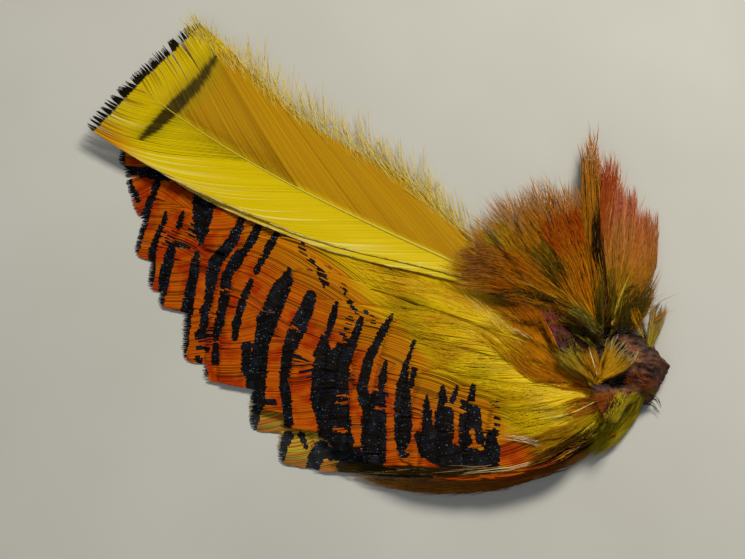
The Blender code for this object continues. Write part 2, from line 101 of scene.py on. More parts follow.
# Each black bar as a stroke read in the photograph: (x, y, width) in its pixels, from the top
# of the bar down. A bar often runs on from one tippet to the next.
# Some strokes paint shade as black. Those strokes are marked below.
BARS = (
    ((122, 146, 6), (121, 162, 9)),
    ((127, 178, 7), (131, 190, 8), (138, 200, 7)),
    ((158, 184, 7), (150, 201, 8), (144, 222, 10), (132, 257, 9)),
    # Painted shadow: the shade under the lower edge of the large tippets, drawn as black
    ((128, 170, 9), (165, 175, 12), (182, 181, 9), (205, 198, 13), (222, 204, 9), (258, 219, 4)),
    ((204, 202, 24), (203, 215, 21), (202, 229, 15), (200, 244, 5)),
    ((166, 213, 4), (164, 222, 6), (157, 238, 7), (153, 252, 8), (151, 270, 9), (149, 292, 8)),
    ((183, 213, 5), (179, 227, 6)),
    ((171, 249, 10), (166, 270, 11), (159, 308, 9)),
    ((197, 254, 7), (193, 280, 10), (186, 315, 13), (184, 335, 12), (184, 356, 6)),
    ((178, 314, 5), (175, 325, 8), (175, 335, 6)),
    ((243, 217, 8), (233, 241, 12), (217, 260, 14), (211, 282, 11), (208, 305, 9)),
    ((205, 309, 10), (204, 327, 9)),
    ((198, 348, 5), (208, 349, 5)),
    ((198, 358, 6), (205, 374, 8)),
    ((261, 223, 7), (251, 241, 11), (236, 261, 13), (227, 275, 11), (225, 296, 11), (216, 338, 7)),
    ((216, 345, 7), (216, 362, 8)),
    ((280, 229, 6), (269, 248, 9), (265, 258, 7)),
    ((260, 263, 7), (257, 271, 6)),
    ((251, 282, 7), (244, 298, 10), (238, 317, 7)),
    ((237, 321, 8), (235, 338, 6)),
    ((290, 267, 4), (287, 280, 14), (279, 294, 20), (268, 320, 21), (262, 343, 15)),
    ((262, 343, 15), (257, 370, 22), (256, 390, 20), (260, 404, 12)),
    ((247, 346, 10), (247, 370, 12)),
    ((250, 399, 6), (274, 403, 8)),
    ((311, 296, 12), (306, 311, 16), (298, 328, 18), (288, 351, 13), (284, 380, 10), (289, 423, 10)),
    ((337, 303, 5), (332, 320, 8), (327, 335, 6)),
    ((324, 337, 6), (323, 354, 18), (331, 368, 37), (330, 400, 38), (335, 425, 33), (346, 442, 18)),
    ((362, 318, 5), (355, 338, 9), (344, 360, 16)),
    ((340, 346, 7), (338, 358, 14)),
    ((393, 314, 3), (384, 330, 8), (369, 359, 11), (362, 388, 11), (366, 402, 14)),
    ((386, 362, 4), (383, 377, 10), (381, 388, 7)),
    ((376, 394, 8), (386, 395, 7)),
    ((374, 404, 24), (374, 440, 27), (374, 460, 24)),
    ((415, 341, 3), (405, 368, 7), (403, 386, 14), (403, 410, 18), (403, 438, 18), (401, 448, 9)),
    ((415, 368, 5), (411, 386, 7)),
    ((427, 396, 4), (427, 410, 9), (428, 430, 12)),
    ((443, 387, 5), (443, 400, 10), (445, 415, 20), (443, 436, 22)),
    ((457, 389, 5), (451, 405, 7)),
    ((473, 387, 5), (471, 403, 9)),
    ((463, 401, 5), (470, 412, 22), (470, 426, 24), (465, 442, 13)),
    ((479, 430, 8), (481, 444, 8)),
    ((491, 434, 8), (492, 448, 17), (492, 464, 15)),
    ((418, 436, 10), (430, 448, 24), (450, 457, 26), (475, 458, 20), (492, 459, 16)),
    ((322, 432, 10), (350, 452, 14), (366, 458, 16)),
    ((258, 404, 10), (255, 418, 11), (251, 434, 9)),
    ((288, 436, 11), (283, 450, 9), (279, 466, 8)),
    ((301, 434, 6), (306, 446, 6)),
    # These three strokes paint the black tips along the fan's lower edge and also the shade under that edge
    ((322, 446, 14), (316, 458, 16), (310, 474, 12)),
    ((322, 452, 14), (345, 456, 12)),
    ((345, 466, 16), (380, 474, 12), (430, 478, 8)),
)

# Small dark blots between the bars and the golden bases, in the same way
BLOTS = (
    ((319, 274, 3), (320, 277, 4)),
    ((323, 285, 4), (325, 287, 4)),
    ((345, 290, 4), (346, 294, 4)),
    ((351, 305, 2), (356, 311, 3)),
    ((366, 311, 3), (367, 313, 3)),
    ((344, 334, 4), (343, 337, 4)),
    ((402, 455, 4), (407, 455, 4)),
)

# Places where only some of the barbs are black: the share of them, and the stroke
STREAKS = (
    (0.5, ((173, 240, 18), (196, 240, 18))),
    (0.45, ((162, 236, 10), (168, 246, 10))),
    (0.5, ((292, 357, 12), (311, 372, 16))),
    (0.45, ((201, 335, 14), (210, 336, 14))),
    (0.35, ((339, 377, 8), (352, 378, 8))),
    (0.4, ((498, 400, 4), (497, 430, 6))),
    (0.5, ((320, 272, 8), (326, 284, 9))),
    (0.4, ((326, 267, 4), (334, 268, 5))),
    (0.5, ((343, 287, 8), (346, 296, 8))),
    (0.5, ((349, 303, 6), (358, 313, 6))),
    (0.45, ((372, 318, 5), (374, 322, 5))),
    (0.45, ((340, 325, 6), (345, 340, 7))),
    (0.35, ((492, 404, 6), (494, 412, 7))),
    (0.5, ((484, 434, 9), (494, 434, 9))),
    (0.5, ((302, 247, 8), (304, 256, 9))),
    (0.6, ((313, 259, 7), (311, 268, 9))),
    (0.4, ((264, 256, 9), (262, 262, 9))),
    (0.3, ((195, 222, 10), (193, 234, 10))),
    (0.3, ((350, 320, 8), (348, 328, 8))),
    (0.6, ((598, 434, 14), (562, 456, 16), (538, 469, 8))),
)

# Slits where orange barbs lie over a bar
SLITS = (
    ((218, 289, 2), (233, 291, 2)),
    ((286, 324, 2), (300, 331, 2)),
    ((337, 395, 2), (350, 396, 2)),
    ((337, 403, 2), (350, 404, 2)),
    ((376, 408, 1), (388, 409, 1)),
    ((446, 404, 2), (456, 406, 2)),
    ((457, 411, 3), (465, 412, 2)),
    ((470, 403, 2), (481, 407, 2)),
    ((472, 432, 4), (475, 444, 5)),
    ((475, 445, 4), (481, 448, 4)),
    ((335, 429, 4), (345, 431, 4)),
    ((256, 222, 2), (240, 248, 3)),
)

# Beyond the last bar, where the orange is as red as at the tips
RED_AGAIN = ((506, 452, 22), (545, 458, 26))
JAG = 0.1                        # how far a bar's edge differs from barb to barb, in millimetres
SLOW_JAG = 0.12                  # how far it swings over some barbs
UNEVEN_LEVEL = 0.015             # how far one barb lies over the next
SHAFT_ROWS = 4                   # rows of the map that the shaft takes, where a barb takes one
BARS_ON_A_BARB = 4               # at most this many bars cross one barb
SAMPLES_FOR_BARS = 16            # samples from one point of a barb to the next
OUTSIDE = -99.0                  # pixels inside a stroke, for a place that is nowhere near one
NO_BAR = -9.0                    # the place of a bar that a barb doesn't have

# Where the orange gives way to gold, in the photograph's pixels from the upper left to the right
GOLD_BORDER = (
    (275, 205), (311, 243), (347, 275), (376, 305), (401, 324), (419, 350), (436, 371), (472, 384),
    (499, 396), (507, 434), (560, 442), (604, 430),
)

SHAFT_HANDLE = 0.36              # share of a shaft's length over which each end keeps its heading
BARB_HANDLES = (0.34, 0.36)      # the same for a barb, at the shaft and at its end
LEAST_LEAD = 1.5                 # a barb leaves the shaft at least this far behind its end
LAST_START = 0.985               # share of the shaft at which the last barb leaves it
CORNER_SIDE = 0.85               # side of the vane from which the corners of the tip are set back
TIP_POWER = 12                   # how closely the tip's bow keeps to the last barbs
HAIR_BEND = 2.5                  # degrees by which a loose hair bends
RIDGE = 0.45                     # height of a barb's ridge, as a share of its half width
SHAFT_END = 0.97                 # share of its length at which a shaft is too thin to show
SHAFT_TAPER = 0.85               # share of its radius that it loses on the way
JAG_REACH = 6                    # barbs over which a bar's edge swings
COLOUR_REACH = 5                 # and over which the colour drifts
BACK_TO_RED = 50                 # pixels by which the gold's border is farther off where it is red again


@dataclass
class Feather:
    """One feather seen from above, as its solid has it, and the barbs of its vane. Millimetres."""
    node: str
    root: tuple
    leaves: float                # heading of the quill at its root, in degrees from +X towards +Y
    tip: tuple
    arrives: float               # heading of the shaft at the tip
    near: float                  # half width of the vane on the left hand of the heading
    far: float                   # half width of the vane on the right hand
    outline: tuple               # share of the half width at shares of the length
    far_outline: tuple = ()
    tip_bow: float = 1.0
    bare: float = 0.28           # share of the shaft without barbs
    spacing: float = 0.3         # from barb to barb along the edge of the vane
    barb: float = 0.4            # width of a barb
    lean: float = 1.9            # how far a barb runs forward for each millimetre outward
    opening: float = 34.0        # angle at which a barb leaves the shaft
    closing: float = 5.0         # angle to the shaft at the barb's end on the near hand
    far_closing: float = 5.0     # the same on the far hand
    uneven: float = 0.1          # how much the barbs differ in length
    clump: float = 0.05          # how far the ends of a bunch of barbs are drawn together
    tip_clump: float = 0.05      # the same along the tip
    bunch: int = 7               # barbs in a bunch
    roll: float = 0.12           # how far a barb is turned about its own length, in radians
    wave: float = 0.05           # how far a barb wanders from its curve
    rounded: float = 0.9         # how far the corners of the tip are set back
    blunt: float = 0.35          # width of a barb at its very end, as a share
    taper: float = 0.8           # length over which a barb narrows to its end
    loose: float = 0.02          # share of the barbs that stand clear of the vane
    loose_height: float = 0.4
    loose_length: float = 0.0
    hairs: tuple = ()            # further loose hairs on the vane
    within_gold: bool = False    # whether its barbs stop at the border of the gold
    shaft: float = 0.22          # radius of the shaft at the root
    segments: int = 10


@dataclass
class Hairs:
    """Loose hairs that grow among the barbs of a vane, each quantity from one value to another."""
    count: int
    share: tuple                 # where along the shaft they start
    side: tuple                  # and where across the vane, from -1 to 1
    length: tuple
    angle: tuple                 # how far they turn to the right of the shaft, in degrees
    lift: float                  # height of the ends over the vane
    width: float = 0.1


def unit(degrees):
    """The direction of each heading in degrees."""
    angle = np.radians(degrees)
    return np.stack((np.cos(angle), np.sin(angle)), axis=-1)


def turned(direction, degrees):
    """Directions turned anticlockwise by an angle each."""
    c, s = np.cos(np.radians(degrees)), np.sin(np.radians(degrees))
    x, y = direction[..., 0], direction[..., 1]
    return np.stack((c * x - s * y, s * x + c * y), axis=-1)


def right_of(direction):
    """Directions turned clockwise by a quarter turn."""
    return np.stack((direction[..., 1], -direction[..., 0]), axis=-1)


def curve(start, first, second, end, share):
    """Points of smooth curves that leave start towards first and reach end from second."""
    t = share[..., None]
    r = 1 - t
    return r**3 * start + 3 * r * r * t * first + 3 * r * t * t * second + t**3 * end


def from_tip_corners(lower, upper, share=0.5):
    """Tip, heading, near and far half widths of a feather whose square tip has these corners."""
    lower, upper = np.array(lower), np.array(upper)
    width = np.linalg.norm(upper - lower)
    across = (upper - lower) / width
    heading = math.degrees(math.atan2(across[0], -across[1])) % 360
    return tuple(lower + share * (upper - lower)), heading, width * share, width * (1 - share)


def shaft_course(feather, share):
    """Points and directions of the shaft at shares of its length."""
    start, end = np.array(feather.root), np.array(feather.tip)
    reach = SHAFT_HANDLE * np.linalg.norm(end - start)
    first = start + reach * unit(feather.leaves)
    second = end - reach * unit(feather.arrives)
    share = np.asarray(share, float)
    ahead = curve(start, first, second, end, np.minimum(share + 1e-3, 1))
    behind = curve(start, first, second, end, np.maximum(share - 1e-3, 0))
    along = ahead - behind
    return curve(start, first, second, end, share), along / np.linalg.norm(along, axis=-1, keepdims=True)


def half_width(feather, share, hand):
    """Half width of the vane at shares of the length, on the near (-1) or the far (+1) hand."""
    outline = (feather.far_outline or feather.outline) if hand > 0 else feather.outline
    full = feather.far if hand > 0 else feather.near
    return full * np.interp(share, [p[0] for p in outline], [p[1] for p in outline])


def shaft_length(feather):
    """Length of the shaft in millimetres."""
    points, _ = shaft_course(feather, np.linspace(0, 1, 60))
    return float(np.linalg.norm(np.diff(points, axis=0), axis=1).sum())


class VaneSurface:
    """Height of the middle of a feather's plain solid over the plan, smoothed over its facets."""

    STEP = 1.0                   # millimetres from sample to sample
    MARGIN = 6                   # samples outside the solid's box
    SMOOTHINGS = 2

    def __init__(self, node):
        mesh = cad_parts[node].data
        tree = BVHTree.FromPolygons([v.co for v in mesh.vertices], [p.vertices for p in mesh.polygons])
        low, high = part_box(node)
        step = self.STEP * MM
        count = [int((high[k] - low[k]) / step) + 2 * self.MARGIN for k in (0, 1)]
        self.corner = np.array((low.x, low.y)) / MM - self.MARGIN * self.STEP
        self.height = np.zeros(count)
        for i in range(count[0]):
            for j in range(count[1]):
                x, y = (self.corner + self.STEP * np.array((i, j))) * MM
                self.height[i, j] = self.middle(tree, x, y, low.z, high.z) / MM
        for _ in range(self.SMOOTHINGS):
            padded = np.pad(self.height, 1, mode="edge")
            rows = 0.25 * padded[:-2] + 0.5 * padded[1:-1] + 0.25 * padded[2:]
            self.height = 0.25 * rows[:, :-2] + 0.5 * rows[:, 1:-1] + 0.25 * rows[:, 2:]

    @staticmethod
    def middle(tree, x, y, lowest, highest):
        """Half way between the solid's under side and upper side, or the height of its nearest point."""
        above = tree.ray_cast(Vector((x, y, highest + MM)), Vector((0, 0, -1)))[0]
        below = tree.ray_cast(Vector((x, y, lowest - MM)), Vector((0, 0, 1)))[0]
        if above and below:
            return 0.5 * (above.z + below.z)
        return tree.find_nearest(Vector((x, y, 0.5 * (lowest + highest))))[0].z

    def at(self, places):
        """Heights at world places in millimetres."""
        spot = (places - self.corner) / self.STEP
        spot = np.clip(spot, 0, np.array(self.height.shape) - 1.001)
        whole = spot.astype(int)
        i, j = whole[..., 0], whole[..., 1]
        a, b = spot[..., 0] - i, spot[..., 1] - j
        low = self.height[i, j] * (1 - b) + self.height[i, j + 1] * b
        high = self.height[i + 1, j] * (1 - b) + self.height[i + 1, j + 1] * b
        return low * (1 - a) + high * a


def barb_ends(feather, hand):
    """Where the barbs of one hand end, evenly spaced round the vane: shares of the length, and sides."""
    along_edge, along_tip = 80, 40
    share = np.concatenate((np.linspace(feather.bare, 1, along_edge), np.ones(along_tip)))
    side = np.concatenate((np.ones(along_edge), np.linspace(1, 0.02, along_tip)))
    middle, along = shaft_course(feather, share)
    places = middle + right_of(along) * (hand * side * half_width(feather, share, hand))[:, None]
    walked = np.concatenate(([0], np.cumsum(np.linalg.norm(np.diff(places, axis=0), axis=1))))
    stops = np.arange(0.5 * feather.spacing, walked[-1], feather.spacing)
    return np.interp(stops, walked, share), np.interp(stops, walked, side)


def barb_steps(feather):
    """Shares of a barb's length at which it has points, which are closer together towards its end."""
    return 1 - (1 - np.linspace(0, 1, feather.segments + 1)) ** 1.5


def barb_paths(feather, hand, rng):
    """Plan curves of the barbs of one hand, from the shaft to their ends, and how far out each goes."""
    share, side = barb_ends(feather, hand)
    count = len(share)
    outward = side * half_width(feather, share, hand)
    lead = (feather.lean * outward + LEAST_LEAD) / shaft_length(feather)
    start, start_along = shaft_course(feather, np.clip(share - lead, feather.bare * 0.8, LAST_START))
    end, end_along = shaft_course(feather, share)
    right_hand = right_of(end_along)
    closing = feather.far_closing if hand > 0 else feather.closing
    ending = turned(end_along, -hand * closing * side)
    corner = np.maximum(side - CORNER_SIDE, 0) / (1 - CORNER_SIDE)
    bow = (feather.tip_bow * (1 - side * side) - feather.rounded * corner**2) * share**TIP_POWER
    is_loose = rng.random(count) < feather.loose
    beyond = rng.normal(0, feather.uneven, count) + is_loose * rng.random(count) * feather.loose_length
    end = end + right_hand * (hand * outward)[:, None] + end_along * bow[:, None] + ending * beyond[:, None]
    bunch = np.cumsum(rng.random(count) < 1 / feather.bunch)
    middle = np.array([np.mean(end[bunch == b], axis=0) for b in bunch])
    sideways = np.sum((middle - end) * right_hand, axis=1)
    clump = np.where(share > 0.995, feather.tip_clump, feather.clump)
    chord = np.linalg.norm(end - start, axis=1, keepdims=True)
    leaving = turned(start_along, -hand * feather.opening * (0.4 + 0.6 * side))
    first = start + BARB_HANDLES[0] * chord * leaving
    second = end - BARB_HANDLES[1] * chord * ending
    t = barb_steps(feather)
    path = curve(start[:, None], first[:, None], second[:, None], end[:, None], np.tile(t, (count, 1)))
    phase = rng.random((count, 1)) * 2 * math.pi
    swing = feather.wave * rng.normal(0, 1, (count, 1)) * t * np.sin(phase + 5 * t)
    swing += (clump * sideways)[:, None] * t**7
    path = path + right_hand[:, None] * swing[..., None]
    return path, is_loose, hand * side


def hair_paths(feather, hairs, rng):
    """Plan curves of loose hairs, and the side of the vane that each starts on."""
    count = hairs.count
    share = rng.uniform(*hairs.share, count)
    side = rng.uniform(*hairs.side, count)
    middle, along = shaft_course(feather, share)
    width = np.where(side > 0, half_width(feather, share, 1), half_width(feather, share, -1))
    start = middle + right_of(along) * (side * width)[:, None]
    length = rng.uniform(*hairs.length, (count, 1))
    angle = rng.uniform(*hairs.angle, count)
    bend = rng.normal(0, HAIR_BEND, count)
    first = start + 0.4 * length * turned(along, -angle - bend)
    second = start + 0.7 * length * turned(along, -angle + bend)
    end = start + length * turned(along, -angle + 1.5 * bend)
    t = np.tile(barb_steps(feather), (count, 1))
    return curve(start[:, None], first[:, None], second[:, None], end[:, None], t), side


def slow_drift(count, reach, rng):
    """A random value for each barb that changes slowly from one to the next, about -1 to 1."""
    knots = rng.normal(0, 0.6, int(count / reach) + 3)
    return np.interp(np.arange(count) / reach, np.arange(len(knots)), knots)


def ribbon_strips(path, half, roll):
    """Roof-shaped strips along 3-D paths: three points across, which catch light as round barbs do."""
    along = np.gradient(path, axis=1)
    along /= np.linalg.norm(along, axis=-1, keepdims=True) + 1e-9
    flat = np.stack((along[..., 1], -along[..., 0], np.zeros(along.shape[:2])), axis=-1)
    flat /= np.linalg.norm(flat, axis=-1, keepdims=True) + 1e-9
    up = np.cross(flat, along)
    c, s = np.cos(roll)[:, None, None], np.sin(roll)[:, None, None]
    out = c * flat + s * up
    top = c * up - s * flat
    wide = half[..., None]
    return np.stack((path - out * wide, path + top * wide * RIDGE, path + out * wide), axis=2)


def shaft_tube(feather, surface, sides=6, rings=24):
    """A thin tapering tube along the shaft, as rings of points."""
    share = np.linspace(0, SHAFT_END, rings)
    middle, along = shaft_course(feather, share)
    middle = middle - np.array(PLAN_ORIGIN)
    radius = feather.shaft * (1 - SHAFT_TAPER * share)
    height = surface.at(middle) + 0.35 * radius
    angle = np.arange(sides) / sides * 2 * math.pi
    across = middle[:, None] + right_of(along)[:, None] * (radius[:, None] * np.cos(angle))[..., None]
    level = height[:, None] + 0.7 * radius[:, None] * np.sin(angle)
    return np.concatenate((across, level[..., None]), axis=-1)


def tip_distance(feather, places):
    """How far plan places are behind the tip line in millimetres, and their side from -1 to 1."""
    along = unit(feather.arrives)
    away = places - np.array(feather.tip)
    outward = away @ right_of(along)
    side = np.clip(np.where(outward > 0, outward / feather.far, outward / feather.near), -1.2, 1.2)
    return feather.tip_bow * (1 - side * side) - away @ along, side


def grid_faces(rows, columns, first=0, closed=False):
    """Quads between the points of a grid, whose rows are joined into rings where closed."""
    faces = []
    last = columns if closed else columns - 1
    for i in range(rows - 1):
        for j in range(last):
            here, after = first + i * columns + j, first + i * columns + (j + 1) % columns
            faces.append((here, after, after + columns, here + columns))
    return faces


def photo_pixels(places):
    """The pixel of the photograph that shows each place of the frame, given in millimetres."""
    c, s = math.cos(VIEW_ELEVATION), math.sin(VIEW_ELEVATION)
    x = places[..., 0] + PLAN_ORIGIN[0] - VIEW_TARGET[0]
    y = places[..., 1] + PLAN_ORIGIN[1] - VIEW_TARGET[1] + VIEW_DISTANCE * c
    z = places[..., 2] - VIEW_TARGET[2] - VIEW_DISTANCE * s
    depth = y * c - z * s
    focal = VIEW_DISTANCE / VIEW_PIXEL
    across = IMAGE_SIZE[0] / 2 + focal * x / depth
    down = IMAGE_SIZE[1] / 2 - focal * (y * s + z * c) / depth
    return np.stack((across, down), axis=-1)


def nearest_on_line(pixels, start, end):
    """For each pixel, the share of a line where its nearest place is, the way from there, and the line."""
    start = np.array(start, float)
    step = np.array(end, float) - start
    share = np.clip(((pixels - start) @ step) / (step @ step), 0, 1)
    return share, pixels - start - share[..., None] * step, step


def inside_stroke(pixels, stroke):
    """How far each pixel is inside a stroke of changing width, less than zero being outside."""
    depth = np.full(pixels.shape[:-1], OUTSIDE)
    for (*start, start_width), (*end, end_width) in zip(stroke, stroke[1:]):
        share, gap, _ = nearest_on_line(pixels, start, end)
        width = start_width + share * (end_width - start_width)
        depth = np.maximum(depth, 0.5 * width - np.linalg.norm(gap, axis=-1))
    return depth


def inside_any(pixels, strokes):
    """How far each pixel is inside the stroke that it is deepest in."""
    return np.max([inside_stroke(pixels, stroke) for stroke in strokes], axis=0)


def past_border(pixels):
    """How far each pixel is beyond the border of the gold, to its upper right, in pixels."""
    nearest = np.full(pixels.shape[:-1], np.inf)
    result = np.zeros(pixels.shape[:-1])
    for start, end in zip(GOLD_BORDER, GOLD_BORDER[1:]):
        _, gap, step = nearest_on_line(pixels, start, end)
        away = np.linalg.norm(gap, axis=-1)
        beyond = np.sign(gap[..., 0] * step[1] - gap[..., 1] * step[0]) * away
        result = np.where(away < nearest, beyond, result)
        nearest = np.minimum(away, nearest)
    return result


def at_steps(points, at):
    """Places on each barb that lie between its points, where at is counted in points."""
    before = np.minimum(at.astype(int), points.shape[1] - 2)
    part = (at - before)[..., None]
    barb = np.arange(len(points))[:, None]
    return points[barb, before] * (1 - part) + points[barb, before + 1] * part


def bars_on_barbs(points, jag, rng, strokes, streaks=(), slits=()):
    """For each barb, the middle and half length of each dark stretch, counted in its points."""
    count, steps = points.shape[:2]
    at = np.linspace(0, steps - 1, (steps - 1) * SAMPLES_FOR_BARS + 1)
    pixels = photo_pixels(at_steps(points, at[None]))
    black = inside_any(pixels, strokes)
    for share, stroke in streaks:
        left_out = np.where(rng.random((count, 1)) < share, 0, OUTSIDE)
        black = np.maximum(black, inside_stroke(pixels, stroke) + left_out)
    for stroke in slits:
        black = np.minimum(black, -inside_stroke(pixels, stroke))
    dark = np.pad(black + jag / VIEW_PIXEL > 0, ((0, 0), (1, 1)))
    middle = np.full((count, BARS_ON_A_BARB), NO_BAR)
    half = np.zeros((count, BARS_ON_A_BARB))
    for barb in range(count):
        edges = np.flatnonzero(np.diff(dark[barb].astype(int))) / SAMPLES_FOR_BARS
        stretches = sorted(zip(edges[0::2], edges[1::2]), key=lambda pair: pair[0] - pair[1])
        for number, (start, end) in enumerate(stretches[:BARS_ON_A_BARB]):
            middle[barb, number] = 0.5 * (start + end)
            half[barb, number] = 0.5 * (end - start)
    return middle, half


def cut_at_gold(points):
    """The same barbs, each of which ends where it would cross the border of the gold."""
    last = points.shape[1] - 1
    beyond = past_border(photo_pixels(points)) < 0
    cut = np.where(beyond.any(axis=1), np.maximum(np.argmax(beyond, axis=1), 2), last)
    return at_steps(points, np.linspace(0, 1, last + 1) * cut[:, None])


def fan_marks(value, points, jag, rng, are_hairs):
    """Adds the fan's bars to the values of its barbs, and how far each point is past the gold's border."""
    pixels = photo_pixels(points)
    red_again = np.clip(0.1 * inside_stroke(pixels, RED_AGAIN) + 0.5, 0, 1)
    value["gold"] = past_border(pixels) - BACK_TO_RED * red_again
    value["step"] = np.arange(points.shape[1], dtype=float)[None]
    middle, half = bars_on_barbs(points, jag, rng, BARS + BLOTS, STREAKS, SLITS)
    for number in range(BARS_ON_A_BARB):
        value[f"bar_{number}"] = middle[:, number:number + 1]
        value[f"bar_half_{number}"] = half[:, number:number + 1]


def fan_marks_on_shaft(pixels):
    """The same for a shaft, where a bar crosses it or not."""
    crossed = np.where(inside_any(pixels, BARS + BLOTS) > 0, 0.0, NO_BAR)
    return {"gold": past_border(pixels), **{f"bar_{number}": crossed for number in range(BARS_ON_A_BARB)}}


def feather_mesh(feather, rng, marks, marks_on_shaft):
    """Barbs and shaft of one feather as one mesh, in the frame, with the values that colour it."""
    surface = VaneSurface(feather.node)
    tube = shaft_tube(feather, surface)
    strips, values = [], []
    t = barb_steps(feather)
    for hand in (-1, 1, *feather.hairs):
        are_hairs = isinstance(hand, Hairs)
        if are_hairs:
            path, reach = hair_paths(feather, hand, rng)
            is_loose = np.ones(len(path), bool)
            lift, wide = hand.lift, hand.width
        else:
            path, is_loose, reach = barb_paths(feather, hand, rng)
            lift, wide = feather.loose_height, feather.barb
        count, steps = path.shape[:2]
        length = np.linalg.norm(path[:, -1] - path[:, 0], axis=-1)[:, None]
        behind, side = tip_distance(feather, path)
        world = path - np.array(PLAN_ORIGIN)
        height = surface.at(world) + rng.normal(0, UNEVEN_LEVEL, (count, 1))
        height += (is_loose * rng.random(count) * lift)[:, None] * t**1.5
        half = 0.5 * wide * rng.uniform(0.8, 1.2, (count, 1)) * np.minimum(1, 0.4 + 1.5 * t)
        half = half * np.clip(length * (1 - t) / feather.taper, feather.blunt, 1)
        points = np.concatenate((world, height[..., None]), axis=-1)
        if feather.within_gold:
            points = cut_at_gold(points)
        strips.append(ribbon_strips(points, half, rng.normal(0, feather.roll, count)))
        jag = JAG * rng.normal(0, 1, (count, 1)) + SLOW_JAG * slow_drift(count, JAG_REACH, rng)[:, None]
        value = dict(behind=behind, side=side, along=np.tile(t, (count, 1)), hand=reach[:, None] * t,
                     chance=rng.random((count, 1)), drift=slow_drift(count, COLOUR_REACH, rng)[:, None])
        if marks:
            marks(value, points, jag, rng, are_hairs)
        values.append({name: np.broadcast_to(one, (count, steps)) for name, one in value.items()})
    on_tube = marks_on_shaft(photo_pixels(tube)) if marks_on_shaft else {}
    return assemble(feather.node, strips, values, tube, on_tube)


def assemble(name, strips, values, tube, on_tube):
    """Joins barb strips and the shaft tube into a mesh with its map and its colour values."""
    points = np.concatenate([s.reshape(-1, 3) for s in strips] + [tube.reshape(-1, 3)])
    faces, places, first = [], [], 0
    barbs = sum(len(s) for s in strips)
    steps = strips[0].shape[1]
    rings, sides = tube.shape[:2]
    rows = barbs + SHAFT_ROWS
    for row in range(barbs):
        faces += grid_faces(steps, 3, first)
        across = (row + np.array((0.04, 0.5, 0.96))) / rows
        places.append(np.stack(np.meshgrid(np.linspace(0, 1, steps), across, indexing="ij"), axis=-1))
        first += steps * 3
    if rings:
        faces += grid_faces(rings, sides, first, closed=True)
        faces += [tuple(first + k for k in reversed(range(sides)))]
        faces += [tuple(first + (rings - 1) * sides + k for k in range(sides))]
        around = (barbs + 0.1 + (SHAFT_ROWS - 0.2) * np.arange(sides) / sides) / rows
        places.append(np.stack(np.meshgrid(np.linspace(0, 1, rings), around, indexing="ij"), axis=-1))
    mesh = bpy.data.meshes.new(name)
    mesh.from_pydata((points * MM).tolist(), [], faces)
    places = np.concatenate([place.reshape(-1, 2) for place in places])
    loop_points = np.zeros(len(mesh.loops), np.int32)
    mesh.loops.foreach_get("vertex_index", loop_points)
    mesh.uv_layers.new(name="OFBake").data.foreach_set("uv", places[loop_points].astype(np.float32).ravel())
    shaft_points = rings * sides
    for label in values[0]:
        on_barbs = np.concatenate([np.repeat(value[label], 3) for value in values])
        on_shaft = on_tube.get(label, np.zeros(shaft_points)).ravel()
        add_value(mesh, label, np.concatenate((on_barbs, on_shaft)))
    add_value(mesh, "shaft", np.concatenate((np.zeros(barbs * steps * 3), np.ones(shaft_points))))
    edge = np.concatenate((np.tile((1.0, 0.0, 1.0), barbs * steps), np.zeros(shaft_points)))
    add_value(mesh, "edge", edge)
    mesh.shade_smooth()
    return mesh


def add_value(mesh, name, values):
    """Stores one number for each point of a mesh, which the material reads by its name."""
    mesh.attributes.new(name, "FLOAT", "POINT").data.foreach_set("value", values.astype(np.float32))


def put_in(piece, node):
    """Puts a visible piece in the scene, where it stands for a plain solid."""
    bpy.context.scene.collection.objects.link(piece)
    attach(piece, "root")
    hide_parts(node)


def add_feather(feather, material, seed, marks=None, marks_on_shaft=None):
    """Makes one feather with its material, and with the markings of its kind."""
    mesh = feather_mesh(feather, np.random.default_rng(seed), marks, marks_on_shaft)
    mesh.materials.append(material)
    piece = bpy.data.objects.new(feather.node + "_barbs", mesh)
    put_in(piece, feather.node)
    return piece


def linear(hex_colour):
    """An sRGB hex colour as linear red, green, blue and alpha."""
    parts = [int(hex_colour[k:k + 2], 16) / 255 for k in (1, 3, 5)]
    return (*[p / 12.92 if p <= 0.04045 else ((p + 0.055) / 1.055) ** 2.4 for p in parts], 1)


